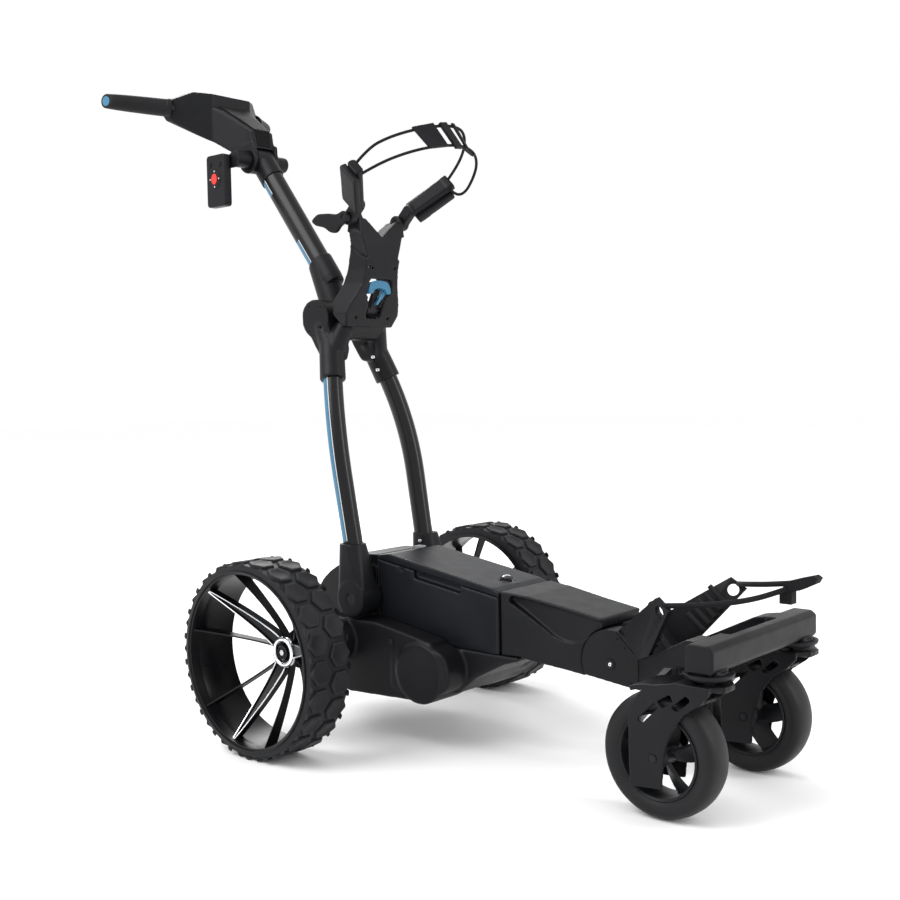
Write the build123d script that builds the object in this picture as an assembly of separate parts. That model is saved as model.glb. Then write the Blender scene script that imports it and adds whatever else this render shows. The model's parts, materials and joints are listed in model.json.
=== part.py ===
from build123d import *
import math
import os

# Four-wheel electric golf trolley, opened for use.
# Frame: X forward (towards the casters), Y to the left, Z up. The origin is on the ground, midway
# between the two rear tyres. All sizes are in millimetres. Paired pieces are modelled on the left
# side (y > 0) and mirrored to the right.

# ---------------------------------------------------------------- fits and clearances
RUN = 0.05  # radial clearance of a shaft that turns in its bore
GAP = 0.6  # gap between pieces that move past each other
WALL = 5.0  # wall of the moulded shells

# ---------------------------------------------------------------- rear wheels
REAR_R = 160.0  # tyre radius
REAR_W = 90.0  # tyre width
REAR_Y = 285.0  # middle plane of the wheel
RIM_R = 139.0  # outside of the rim barrel
RIM_WALL = 4.5
RIM_LIP = 5.0  # height and width of the lips that hold the tyre
HUB_R = 26.0
HUB_FACE_IN = 82.0  # how far the hub's outer face is set in from the tyre's outer face
HUB_LENGTH = 31.0
SPOKES = 3
SPOKE_TURN = -13.0  # first spoke, degrees below the forward direction
SPOKE_T = 14.0
AXLE_R = 8.0
BUTTON_R = 12.0
BUTTON_T = 14.0
BUTTON_SEAT = 18.0  # depth of the button's seat in the hub
BUTTON_TRAVEL = 4.0

# ---------------------------------------------------------------- chassis
PAN_HALF = 68.0  # half width of the pan and of the battery bay
DECK_Z = 165.0  # top of the pan, where the battery stands
POD_Y = 112.0  # outside of the side pods
POD_Z = 198.0
MOTOR_X, MOTOR_Z = 183.0, 125.0
MOTOR_R = 38.0
MOTOR_BARREL_R = 50.0
MOTOR_END_Y = 118.0
GEAR_Y0, GEAR_Y1 = 14.0, 38.0
GEAR_CASE_R = 26.0
HORN_END_Y = 214.0  # end of the axle horn, clear of the wheel's hub
HORN_R0, HORN_R1 = 37.0, 33.0
BEARING_R, BEARING_W = 15.0, 12.0
DRUM_R = 129.0  # rear cover, round about the axle
DRUM_HALF = PAN_HALF - 2.0
FOLD_X, FOLD_Z = 29.0, 232.0  # axis on which the legs fold
FOLD_SHAFT_R = 8.0
BAY_X0, BAY_X1 = 43.0, 316.0  # battery bay

# ---------------------------------------------------------------- battery
BATTERY_GAP = 3.0
SEAM_Z0, SEAM_Z1 = 297.0, 257.0  # lid seam at the back and at the front
LID_T = 11.0
CASE_WALL = 3.0
LATCH_R, LATCH_H, LATCH_TRAVEL = 9.0, 7.0, 3.0
CELL_R, CELL_H, CELL_PITCH = 17.0, 68.0, 35.0

# ---------------------------------------------------------------- casters
SWIVEL_X, SWIVEL_Y = 720.0, 128.7
TRAIL = 67.0
FRONT_R = 88.6
FRONT_W = 53.4
FRONT_RIM_R = 62.0
STEM_R = 8.0
FORK_T = 4.0
FORK_SCALE = FRONT_R / 88.6  # the fork's outline grows with the wheel
FORK_TOP = 197.0 * FORK_SCALE
FRONT_AXLE_R = 6.0
TYRE_GAP = 2.8  # between the tyre and the fork's inside

# ---------------------------------------------------------------- neck and front frame
KNUCKLE_X, KNUCKLE_Z = 517.0, 178.0  # axis on which the front frame folds
KNUCKLE_R = 52.0
KNUCKLE_HALF = 58.0
TONGUE_HALF = 24.0
TONGUE_R = 30.0
PIN_R = 8.0
BAR_X0, BAR_X1 = 700.0, 742.0  # crossbar
BAR_Z0, BAR_Z1 = FORK_TOP + 15.0, FORK_TOP + 54.0
BAR_HALF = 157.0
BOSS_R = 26.0  # swivel boss under the crossbar
RIB_LENGTH = 36.0  # ribs of the wing pads

# ---------------------------------------------------------------- legs and elbow
LEG_R = 17.0
TUBE_WALL = 2.5
BOOT_Y0, BOOT_Y1 = 71.0, 119.0
BOOT_R = 31.0
BOOT_TOP_Z = 325.0
LEG_FOOT = (22.0, 89.1, 262.0)
LEG_BEND = (-24.0, 93.5, 525.0)
LEG_HEAD = (-70.0, 53.3, 665.0)
ELBOW_X, ELBOW_Z = -98.0, 716.0
ELBOW_R = 34.0
CHEEK_Y0, CHEEK_Y1 = 30.0, 66.0
ELBOW_PIN_R = 7.0

# ---------------------------------------------------------------- mast and handle
MAST_W, MAST_T = 45.0, 36.0
MAST_FROM = (-126.0, 0.0, 790.8)
MAST_TO = (-298.0, 0.0, 1017.0)
HUB_X, HUB_Z = -316.0, 1029.0  # cross tube at the mast's head, on which the handle tilts
CROSS_R = 16.0
CROSS_HALF = 62.0
STUB_R = 15.0  # free left end of the cross tube, for an accessory
HEAD_R = 24.0
CONSOLE_CHEEK_Y = 30.0
HEAD_HALF = 20.5
GRIP_ROOT = (-453.0, 103.0, 1137.0)
GRIP_END = (-530.5, 200.7, 1148.6)
BAR_R = 11.0
GRIP_R = 16.5
CAP_T = 4.0

# ---------------------------------------------------------------- bag cradle
ARM_X, ARM_Z = -4.0, 886.0  # axis on which the bag arms fold back
EAR_Y0, EAR_Y1 = 46.0, 56.0
ARM_EYE_R, ARM_EYE_W = 13.0, 15.4
ARM_T = 14.0
ARM_PIN_R = 4.0
ARM_TIP = (60.0, 112.0, 952.0)
LEVER_X, LEVER_Z = -26.0, 730.0  # axis of the release lever
LEVER_PIN_R = 4.0
STRAP_D = 5.0
LOWER_STRAP_D = 8.0

# ---------------------------------------------------------------- remote control
REMOTE_W, REMOTE_H, REMOTE_T = 54.0, 98.0, 17.0
REMOTE_X1 = -320.0
REMOTE_TOP = 1037.0
REMOTE_BUTTON_R = 8.0


# ---------------------------------------------------------------- helpers
def slab(outline, y0, y1):
    """A plate with this XZ outline, from y0 to y1."""
    face = Plane.XZ.offset(-y1) * make_face(Polyline(*outline, close=True))
    return extrude(face, amount=y1 - y0, dir=(0, -1, 0))


def front_slab(outline, x0, x1):
    """A plate with this YZ outline, from x0 to x1."""
    face = Plane.YZ.offset(x0) * make_face(Polyline(*outline, close=True))
    return extrude(face, amount=x1 - x0, dir=(1, 0, 0))


def plan_slab(outline, z0, z1):
    """A plate with this XY outline, from z0 to z1."""
    face = Plane.XY.offset(z0) * make_face(Polyline(*outline, close=True))
    return extrude(face, amount=z1 - z0, dir=(0, 0, 1))


def mirrored(outline):
    """An outline given for one side (first number positive), closed by its mirror image."""
    return outline + [(-a, b) for a, b in reversed(outline) if abs(a) > 1e-9]


def block(x0, x1, y0, y1, z0, z1):
    return Pos((x0 + x1) / 2, (y0 + y1) / 2, (z0 + z1) / 2) * Box(x1 - x0, y1 - y0, z1 - z0)


def rod_y(r, y0, y1, x, z):
    return Pos(x, (y0 + y1) / 2, z) * Rot(90, 0, 0) * Cylinder(r, y1 - y0)


def rod_z(r, z0, z1, x, y):
    return Pos(x, y, (z0 + z1) / 2) * Cylinder(r, z1 - z0)


def rod_x(r, x0, x1, y, z):
    return Pos((x0 + x1) / 2, y, z) * Rot(0, 90, 0) * Cylinder(r, x1 - x0)


def rod(r, a, b):
    """A round bar from point a to point b."""
    a, b = Vector(*a), Vector(*b)
    plane = Plane(origin=a, z_dir=b - a)
    return extrude(plane * Circle(r), amount=(b - a).length, dir=(b - a).normalized())


def turned(profile, x, z):
    """A ring turned about the Y axis through (x, z); profile points are (radius, y)."""
    face = make_face(Polyline(*profile, close=True))
    return Pos(x, 0, z) * revolve(face, Axis.Y)


def cone_y(r0, r1, y0, y1, x, z):
    return turned([(0, y0), (r0, y0), (r1, y1), (0, y1)], x, z)


def eye_link(r, a, b, y0, y1):
    """A flat link with round ends of radius r at the XZ points a and b."""
    (ax, az), (bx, bz) = a, b
    length = math.hypot(bx - ax, bz - az)
    nx, nz = -(bz - az) / length * r, (bx - ax) / length * r
    sides = [(ax + nx, az + nz), (bx + nx, bz + nz), (bx - nx, bz - nz), (ax - nx, az - nz)]
    return slab(sides, y0, y1) + rod_y(r, y0, y1, ax, az) + rod_y(r, y0, y1, bx, bz)


def other_side(shape):
    return mirror(shape, about=Plane.XZ)


def both_sides(shape):
    return shape + other_side(shape)


def save(name, *pieces):
    solids = [s for p in pieces for s in p.solids()]
    shape = solids[0] if len(solids) == 1 else Compound(children=solids)
    export_step(shape, os.path.join("parts", name + ".step"))


def save_pair(name, shape):
    save(name + "_left", shape)
    save(name + "_right", other_side(shape))


# ---------------------------------------------------------------- rear wheels
def rear_rim():
    y0 = REAR_Y - REAR_W / 2
    y1 = REAR_Y + REAR_W / 2
    lip = RIM_R + RIM_LIP
    inner = RIM_R - RIM_WALL
    barrel = [(inner, y0), (lip, y0), (lip, y0 + 3), (RIM_R, y0 + 3)]
    barrel += [(RIM_R, y1 - 3), (lip, y1 - 3), (lip, y1), (inner, y1)]
    rim = turned(barrel, 0, REAR_R)
    hub_face = y1 - HUB_FACE_IN
    rim += rod_y(HUB_R, hub_face - HUB_LENGTH, hub_face, 0, REAR_R)
    reach = inner + 1.0
    blade = make_face(
        Polyline(
            (HUB_R - 4, hub_face - 20),
            (HUB_R - 4, hub_face - 1),
            (reach, y1 - 10),
            (reach, y1 - 26),
            close=True,
        )
    )
    blade = Pos(0, 0, -SPOKE_T / 2) * extrude(blade, amount=SPOKE_T)
    for k in range(SPOKES):
        rim += Pos(0, 0, REAR_R) * Rot(0, SPOKE_TURN + 360 / SPOKES * k, 0) * blade
    rim -= rod_y(AXLE_R, hub_face - HUB_LENGTH - 1, hub_face - BUTTON_SEAT, 0, REAR_R)
    rim -= rod_y(BUTTON_R + 0.3, hub_face - BUTTON_SEAT, hub_face + 1, 0, REAR_R)
    return rim


def rear_tyre():
    y0 = REAR_Y - REAR_W / 2 + 3
    y1 = REAR_Y + REAR_W / 2 - 3
    edge = 9.0
    profile = [(RIM_R, y0), (REAR_R - edge, y0), (REAR_R, y0 + edge)]
    profile += [(REAR_R, y1 - edge), (REAR_R - edge, y1), (RIM_R, y1)]
    return turned(profile, 0, REAR_R)


def rear_wheels():
    hub_face = REAR_Y + REAR_W / 2 - HUB_FACE_IN
    save_pair("rear_rim", rear_rim())
    save_pair("rear_tyre", rear_tyre())
    save_pair("rear_axle", rod_y(AXLE_R, GEAR_Y0 + 2, hub_face - BUTTON_SEAT - 4, 0, REAR_R))
    button_in = hub_face - BUTTON_SEAT + BUTTON_TRAVEL + GAP
    button = rod_y(BUTTON_R, button_in, button_in + BUTTON_T, 0, REAR_R)
    save_pair("hub_button", button)


# ---------------------------------------------------------------- chassis
def gearbox(extra):
    """The flat gear case from motor to axle; its front part stays under the battery deck."""
    ends = (0, REAR_R - 12), (MOTOR_X, MOTOR_Z)
    case = eye_link(GEAR_CASE_R + extra, *ends, GEAR_Y0 - extra, GEAR_Y1 + extra)
    return case - block(BAY_X0 - 9, 300, 0, 100, DECK_Z - WALL - 2 + extra, 250)


def transaxle_housing():
    floor = [(-127, DECK_Z), (-120, 120), (-85, 82), (-20, 67), (16, 65), (175, 72)]
    floor += [(225, 90), (262, 120), (BAY_X1 + 4, 150), (BAY_X1 + 34, 159), (BAY_X1 + 34, DECK_Z)]
    pan = slab(floor, -PAN_HALF, PAN_HALF)
    inside = [(-116, DECK_Z - WALL), (-112, 122), (-82, 90), (-18, 74), (16, 72), (172, 79)]
    inside += [(220, 97), (256, 126), (BAY_X1 - 10, DECK_Z - WALL)]
    pod = [(-30, POD_Z), (-62, 172), (-62, 110), (-20, 78), (16, 70), (185, 78), (215, 110)]
    pod += [(222, 150), (205, 178), (150, 187), (82, POD_Z)]
    pods = slab(pod, PAN_HALF + 1.5, POD_Y)
    pods += slab([(x, min(z, DECK_Z)) for x, z in pod], PAN_HALF - 5, PAN_HALF + 2)
    side = pods + rod_y(MOTOR_BARREL_R, PAN_HALF + 1.5, MOTOR_END_Y, MOTOR_X, MOTOR_Z)
    low_barrel = rod_y(MOTOR_BARREL_R, 40, PAN_HALF + 2, MOTOR_X, MOTOR_Z)
    side += low_barrel & block(100, 260, 0, 200, 0, DECK_Z)
    side += cone_y(HORN_R0, HORN_R1, POD_Y - 14, HORN_END_Y, 0, REAR_R)
    housing = pan + both_sides(side)
    housing -= slab(inside, -PAN_HALF + WALL, PAN_HALF - WALL)
    hollow = rod_y(MOTOR_R + 1, 30, MOTOR_END_Y - 8, MOTOR_X, MOTOR_Z)
    hollow += rod_y(AXLE_R + 4, 10, HORN_END_Y + 1, 0, REAR_R)
    hollow += rod_y(BEARING_R, HORN_END_Y - 2 - BEARING_W, HORN_END_Y + 1, 0, REAR_R)
    pod_hollow = [(-40, 150), (-40, 118), (-8, 92), (118, 92), (118, 150)]
    hollow += slab(pod_hollow, PAN_HALF - 6, POD_Y - WALL)
    hollow += gearbox(1)
    return housing - both_sides(hollow)


def rear_cover():
    drum = rod_y(DRUM_R, -DRUM_HALF, DRUM_HALF, 0, REAR_R)
    drum &= block(-DRUM_R, BAY_X0, -DRUM_HALF, DRUM_HALF, DECK_Z, 2 * REAR_R)
    crown = [(-52, 270), (-34, 288), (-6, 302), (BAY_X0, 304), (BAY_X0, 250), (-52, 250)]
    shape = drum + slab(crown, -DRUM_HALF + 6, DRUM_HALF - 6)
    room = rod_y(DRUM_R - WALL, -44, 44, 0, REAR_R)
    room &= block(-DRUM_R, BAY_X0 - WALL, -44, 44, DECK_Z - 1, 2 * REAR_R)
    shape -= room
    shape -= rod_y(AXLE_R + 3, -DRUM_HALF, DRUM_HALF, 0, REAR_R)
    return shape - rod_y(FOLD_SHAFT_R, -DRUM_HALF, DRUM_HALF, FOLD_X, FOLD_Z)


NECK_SIDE = [(BAY_X1, DECK_Z), (BAY_X1, 268), (365, 264), (442, 252), (500, 243), (500, 150)]
NECK_SIDE += [(394, 160), (BAY_X1 + 34, DECK_Z)]
NECK_PLAN = [(BAY_X1, 66), (365, 61), (430, 56), (510, 55)]


def spine():
    plan = NECK_PLAN + [(x, -y) for x, y in reversed(NECK_PLAN)]
    neck = slab(NECK_SIDE, -70, 70) & plan_slab(plan, 100, 300)
    room = [(BAY_X1 + WALL, 172), (BAY_X1 + WALL, 260), (365, 257), (448, 245), (448, 164), (394, 168)]
    neck -= slab(room, -50, 50)
    neck -= rod_y(KNUCKLE_R + 1.5, -70, 70, KNUCKLE_X, KNUCKLE_Z)
    tongue = block(KNUCKLE_X - KNUCKLE_R - 16, KNUCKLE_X, -TONGUE_HALF, TONGUE_HALF, KNUCKLE_Z - 21, KNUCKLE_Z + 21)
    tongue += rod_y(TONGUE_R, -TONGUE_HALF, TONGUE_HALF, KNUCKLE_X, KNUCKLE_Z)
    return neck + tongue - rod_y(PIN_R + RUN, -70, 70, KNUCKLE_X, KNUCKLE_Z)


def axle_bearings():
    y0 = HORN_END_Y - 2 - BEARING_W
    ring = rod_y(BEARING_R, y0, y0 + BEARING_W, 0, REAR_R)
    ring -= rod_y(AXLE_R + RUN, y0 - 1, y0 + BEARING_W + 1, 0, REAR_R)
    return ring, other_side(ring)


def chassis():
    save("transaxle_housing", transaxle_housing())
    save("rear_cover", rear_cover())
    save("spine", spine())
    motor = rod_y(MOTOR_R, GEAR_Y1, MOTOR_END_Y - 12, MOTOR_X, MOTOR_Z)
    save("motors", motor, other_side(motor))
    box = gearbox(0) - rod_y(AXLE_R + RUN, 0, 60, 0, REAR_R)
    save("gearboxes", box, other_side(box))
    save("axle_bearings", *axle_bearings())
    save("controller", block(12, BAY_X0 - WALL, -34, 34, DECK_Z + 10, DECK_Z + 50))
    shaft_end = BOOT_Y1 - 1
    save("fold_shaft", rod_y(FOLD_SHAFT_R, -shaft_end, shaft_end, FOLD_X, FOLD_Z))
    screws = []
    for x, z in ((-45, 130), (120, 170)):
        head = rod_y(4.5, POD_Y, POD_Y + 2.5, x, z)
        screws += [head, other_side(head)]
    save("chassis_screws", *screws)


# ---------------------------------------------------------------- battery
def seam_z(x):
    x0, x1 = BAY_X0 + BATTERY_GAP, BAY_X1 - BATTERY_GAP
    return SEAM_Z0 + (SEAM_Z1 - SEAM_Z0) * (x - x0) / (x1 - x0)


def battery():
    x0, x1 = BAY_X0 + BATTERY_GAP, BAY_X1 - BATTERY_GAP
    floor = DECK_Z + GAP
    side = [(x0, floor), (x1, floor), (x1, seam_z(x1)), (x0, seam_z(x0))]
    case = slab(side, -PAN_HALF, PAN_HALF)
    w = CASE_WALL
    room = [(x0 + w, floor + w), (x1 - w, floor + w), (x1 - w, seam_z(x1) + 9), (x0 + w, seam_z(x0) + 9)]
    case -= slab(room, -PAN_HALF + 15, PAN_HALF - 15)
    grip = [(131, seam_z(131) - 2), (235, seam_z(235) - 2), (235, seam_z(235) - 13), (131, seam_z(131) - 13)]
    case -= both_sides(slab(grip, PAN_HALF - 11, PAN_HALF + 1))
    save("battery_case", case)
    lid_side = [(x0, seam_z(x0)), (x1, seam_z(x1)), (x1, seam_z(x1) + 8), (x1 - 14, seam_z(x1) + LID_T + 3)]
    lid_side += [(x0 + 26, seam_z(x0) + LID_T), (x0, seam_z(x0) + 7)]
    lid = slab(lid_side, -PAN_HALF + 1.5, PAN_HALF - 1.5)
    latch_z = seam_z(x1 - 22) + LID_T
    seat = rod_z(LATCH_R + 0.3, latch_z - LATCH_H + 1, latch_z + 20, x1 - 22, 0)
    save("battery_lid", lid - seat)
    latch_low = latch_z - LATCH_H + 1 + LATCH_TRAVEL + GAP
    save("battery_latch", rod_z(LATCH_R, latch_low, latch_low + LATCH_H, x1 - 22, 0))
    cells = []
    rows = int((2 * PAN_HALF - 30) // CELL_PITCH)
    for i in range(6):
        for j in range(rows):
            y = (j - (rows - 1) / 2) * CELL_PITCH
            cells.append(rod_z(CELL_R, floor + w, floor + w + CELL_H, x0 + 34 + i * 37.0, y))
    save("battery_cells", *cells)


# ---------------------------------------------------------------- front frame
def front_arm():
    k = (KNUCKLE_X, KNUCKLE_Z)
    cheek = rod_y(KNUCKLE_R, TONGUE_HALF + GAP, KNUCKLE_HALF, *k)
    cheek &= slab([(450, 158), (600, 142), (600, 260), (450, 260)], 0, 80)
    front = [(KNUCKLE_X, 151.5), (576, 145), (582, 183), (548, 222), (KNUCKLE_X, 228)]
    cheek += slab(front, TONGUE_HALF + GAP, KNUCKLE_HALF)
    web = slab([(556, 152), (573, 150), (578, 183), (556, 206)], -TONGUE_HALF - 6, TONGUE_HALF + 6)
    plan = [(562, 27), (562, KNUCKLE_HALF - 1), (BAR_X0, 128), (BAR_X0, 84)]
    lift = [(550, 150), (574, 149), (600, 170), (628, BAR_Z0 - 18), (BAR_X0 + 10, BAR_Z0 + 2)]
    lift += [(BAR_X0 + 10, BAR_Z1 - 2), (680, BAR_Z1 - 5), (620, 216), (575, 196), (550, 206)]
    limb = plan_slab(plan, 140, 260) & slab(lift, 0, 200)
    limb -= rod_z(BOSS_R + 0.2, BAR_Z0 - 14, BAR_Z0 + 1.2, SWIVEL_X, SWIVEL_Y)
    side = cheek + limb
    arm = side + web + other_side(side)
    return arm - rod_y(PIN_R, -KNUCKLE_HALF - 1, KNUCKLE_HALF + 1, *k)


def crossbar():
    side = [(BAR_X0, BAR_Z0), (BAR_X1 - 4, BAR_Z0), (BAR_X1, BAR_Z0 + 5), (BAR_X1, BAR_Z1 - 6)]
    side += [(BAR_X1 - 8, BAR_Z1), (BAR_X0 + 6, BAR_Z1), (BAR_X0, BAR_Z1 - 6)]
    bar = slab(side, -BAR_HALF, BAR_HALF)
    bar -= block(BAR_X0 - 1, BAR_X0 + 20, -70, 70, BAR_Z1 - 11, BAR_Z1 + 1)
    boss = rod_z(BOSS_R, BAR_Z0 - 12, BAR_Z0 + 1, SWIVEL_X, SWIVEL_Y)
    bar += both_sides(boss)
    bore = rod_z(STEM_R + RUN, BAR_Z0 - 20, BAR_Z1 - 8, SWIVEL_X, SWIVEL_Y)
    return bar - both_sides(bore)


def wing():
    """The plate that holds the bag's foot on one side, leaning out and forward."""
    foot_a, foot_b = Vector(527, 52, 228), Vector(575, 60, 181)
    tip_a, tip_b = Vector(627, 110, 296), Vector(652, 112, 281)
    plane = Plane(origin=foot_a, x_dir=foot_b - foot_a, z_dir=(foot_b - foot_a).cross(tip_a - foot_a))
    corners = [plane.to_local_coords(p) for p in (foot_a, foot_b, tip_b, tip_a)]
    face = make_face(Polyline(*[(c.X, c.Y) for c in corners], close=True))
    plate = extrude(plane * face, amount=8)
    return plate, plane, corners


def wings():
    plate, plane, corners = wing()
    top = (corners[2] + corners[3]) / 2
    window = plane * Pos(top.X + 2, top.Y - 14, 0) * Circle(9)
    window = extrude(window, amount=20, both=True)
    save_pair("wing", plate - window - front_arm())
    ribs = []
    for k in range(5):
        rib = plane * Pos(top.X - 8 + 2 * k, top.Y - 36 - 13 * k, 11.5) * Box(RIB_LENGTH, 8, 7)
        ribs += [rib, other_side(rib)]
    save("wing_pads", *ribs)


# ---------------------------------------------------------------- casters
def fork_outline(points):
    """XZ points of the fork, which grow with the wheel."""
    wx = SWIVEL_X - TRAIL
    return [(wx + (x - wx) * FORK_SCALE, z * FORK_SCALE) for x, z in points]


def caster_fork():
    wx = SWIVEL_X - TRAIL
    inner = FRONT_W / 2 + TYRE_GAP
    outer = inner + FORK_T
    y = SWIVEL_Y
    plate = [(615.5, 44), (666, 48), (671, 100), (682, 130), (702, 156), (724, 172), (738, 186), (738, 197)]
    plate = fork_outline(plate + [(690, 197), (652, 189), (628, 172), (613, 142), (614, 120)])
    sides = slab(plate, y + inner, y + outer) + slab(plate, y - outer, y - inner)
    hood = rod_y(FRONT_R + 12.4, y - outer, y + outer, wx, FRONT_R)
    hood -= rod_y(FRONT_R + 5.4, y - outer - 1, y + outer + 1, wx, FRONT_R)
    hood &= slab([(wx, FRONT_R), (742, 202), (742, 400), (600, 400), (612, 190)], 0, 300)
    crown = [(684, y + outer), (702, y + outer), (752, y + 14), (752, y - 14), (702, y - outer), (684, y - outer)]
    fork = sides + hood + plan_slab(crown, FORK_TOP - 9, FORK_TOP)
    for x, z in fork_outline([(652, 162), (694, 172)]):
        fork -= Pos(x, y, z) * Rot(90, 0, 0) * Box(24, 14, 100)
    fork -= rod_y(FRONT_AXLE_R, y - 60, y + 60, wx, FRONT_R)
    return fork - rod_z(STEM_R, FORK_TOP - 40, FORK_TOP + 1, SWIVEL_X, y)


def front_tyre():
    wx, half = SWIVEL_X - TRAIL, FRONT_W / 2
    y = SWIVEL_Y
    profile = [(FRONT_RIM_R, y - half + 4), (72, y - half), (FRONT_R - 6, y - half + 3), (FRONT_R - 1.5, y - 13)]
    profile += [(FRONT_R, y - 5), (FRONT_R, y + 5), (FRONT_R - 1.5, y + 13)]
    profile += [(FRONT_R - 6, y + half - 3), (72, y + half), (FRONT_RIM_R, y + half - 4)]
    return turned(profile, wx, FRONT_R)


def front_rim():
    wx, y = SWIVEL_X - TRAIL, SWIVEL_Y
    half = FRONT_W / 2 - 4
    rim = rod_y(FRONT_RIM_R, y - half, y + half, wx, FRONT_R)
    rim -= rod_y(FRONT_RIM_R - 6, y - half - 1, y + half + 1, wx, FRONT_R)
    rim += rod_y(16, y - half - 2, y + half + 2, wx, FRONT_R)
    for k in range(5):
        spoke = Pos(wx, y, FRONT_R) * Rot(0, 72 * k, 0) * Pos(36, 0, 0) * Box(46, 14, 12)
        rim += spoke
    return rim - rod_y(FRONT_AXLE_R + RUN, y - 40, y + 40, wx, FRONT_R)


def casters():
    wx, y = SWIVEL_X - TRAIL, SWIVEL_Y
    reach = FRONT_W / 2 + TYRE_GAP + FORK_T
    save_pair("caster_fork", caster_fork())
    save_pair("caster_stem", rod_z(STEM_R, FORK_TOP - 9, BAR_Z1 - 10, SWIVEL_X, y))
    save_pair("front_tyre", front_tyre())
    save_pair("front_rim", front_rim())
    axle = rod_y(FRONT_AXLE_R, y - reach, y + reach, wx, FRONT_R)
    for end in (-1, 1):
        head = sorted((y + end * reach, y + end * (reach + 4)))
        axle += rod_y(9, *head, wx, FRONT_R)
    save_pair("front_axle", axle)


# ---------------------------------------------------------------- legs and elbow
def leg_path():
    return FilletPolyline(LEG_FOOT, LEG_BEND, LEG_HEAD, radius=600)


def leg_bar(r):
    path = leg_path()
    return sweep(Plane(origin=path @ 0, z_dir=path % 0) * Circle(r), path=path)


def boot():
    low = Plane.XY.offset(FOLD_Z) * Pos(FOLD_X, (BOOT_Y0 + BOOT_Y1) / 2) * RectangleRounded(2 * BOOT_R, BOOT_Y1 - BOOT_Y0, 6)
    top = Plane.XY.offset(BOOT_TOP_Z) * Pos(13, 93) * RectangleRounded(45, 43, 20)
    shell = loft([low, top])
    shell += rod_y(BOOT_R, BOOT_Y0, BOOT_Y1, FOLD_X, FOLD_Z)
    shell -= leg_bar(LEG_R)
    return shell - rod_y(FOLD_SHAFT_R + RUN, BOOT_Y0 - 1, BOOT_Y1 + 1, FOLD_X, FOLD_Z)


def elbow_housing():
    up = (Vector(*LEG_HEAD) - Vector(*LEG_BEND)).normalized()
    low = Vector(*LEG_HEAD) - up * 58
    top = Vector(*LEG_HEAD) + up * 12
    side = rod(LEG_R + 6, low, top)
    side += rod_y(ELBOW_R, CHEEK_Y0, CHEEK_Y1, ELBOW_X, ELBOW_Z)
    flank = [(-131, 710), (-120, 690), (-98, 655), (-44, 655), (-48, 684), (-66, 700), (-66, 716)]
    side += slab(flank, CHEEK_Y0 + 2, CHEEK_Y1 - 6)
    bridge = [(-74, 664), (-38, 660), (-26, 684), (-28, 700), (-62, 700), (-62, 684), (-74, 680)]
    side += slab(bridge, 0, 50)
    side -= leg_bar(LEG_R)
    housing = both_sides(side)
    return housing - rod_y(ELBOW_PIN_R, -CHEEK_Y1 - 1, CHEEK_Y1 + 1, ELBOW_X, ELBOW_Z)


def bag_bracket():
    side = [(-62, 700), (-27, 700), (-20, 716), (4, 774), (11, 812), (12, 842), (9, 886)]
    side += [(-18, 886), (-26, 840), (-40, 795), (-60, 745)]
    face = mirrored([(0, 700), (58, 700), (66, 722), (60, 741), (44, 774), (41, 800), (44, 835)] + [(56, 858), (56, 890), (44, 890), (0, 856)])
    shell = slab(side, -80, 80) & front_slab(face, -100, 60)
    room = [(-80, 708), (-32, 708), (-27, 718), (-3, 776), (4, 812), (5, 832), (-80, 832)]
    shell -= slab(room, -34, 34)
    for y0, y1 in ((EAR_Y0, EAR_Y1), (-EAR_Y1, -EAR_Y0)):
        shell += rod_y(ARM_EYE_R, y0, y1, ARM_X, ARM_Z)
    slot = block(-40, 30, -14, 14, 716, 750) + block(-40, 30, -22, 22, 745, 779)
    shell -= slot
    shell += both_sides(block(LEVER_X - 7, LEVER_X + 7, 16, 34, LEVER_Z - 8, LEVER_Z + 7))
    shell -= rod_y(LEVER_PIN_R + RUN, -30, 30, LEVER_X, LEVER_Z)
    shell -= rod_y(ARM_PIN_R, -EAR_Y1 - 1, EAR_Y1 + 1, ARM_X, ARM_Z)
    return shell


def release_lever():
    lever = rod_y(LEVER_PIN_R, -29, 29, LEVER_X, LEVER_Z)
    lever += rod_y(7, -11, 11, LEVER_X, LEVER_Z)
    lever += slab([(-32, 732), (-20, 728), (1, 762), (-4, 772), (-12, 768)], -6, 6)
    arch = [(-9, 752), (0, 752), (6, 768), (6, 775), (-3, 775), (-3, 768)]
    lever += slab(arch, -20, 20)
    return lever - slab([(-12, 740), (8, 740), (8, 764), (-12, 764)], 6.5, 13) - slab(
        [(-12, 740), (8, 740), (8, 764), (-12, 764)], -13, -6.5
    )


def legs():
    leg = leg_bar(LEG_R) - leg_bar(LEG_R - TUBE_WALL)
    save_pair("leg", leg)
    boot_left = boot()
    save("leg_boots", boot_left, other_side(boot_left))
    save("elbow_housing", elbow_housing())
    save("bag_bracket", bag_bracket())
    save("release_lever", release_lever())
    left_pin = rod_y(ARM_PIN_R, EAR_Y0, EAR_Y1 + GAP + ARM_EYE_W, ARM_X, ARM_Z)
    right_pin = rod_y(ARM_PIN_R, EAR_Y0, EAR_Y1 + 2 * GAP + ARM_EYE_W + 8, ARM_X, ARM_Z)
    elbow_pin = rod_y(ELBOW_PIN_R, -CHEEK_Y1, CHEEK_Y1, ELBOW_X, ELBOW_Z)
    save("pivot_pins", elbow_pin, left_pin, other_side(right_pin))


# ---------------------------------------------------------------- mast
MAST_DIR = (Vector(*MAST_TO) - Vector(*MAST_FROM)).normalized()


def mast_section(at, w, t):
    return Plane(origin=at, x_dir=(0, 1, 0), z_dir=MAST_DIR) * Ellipse(t / 2, w / 2)


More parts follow.
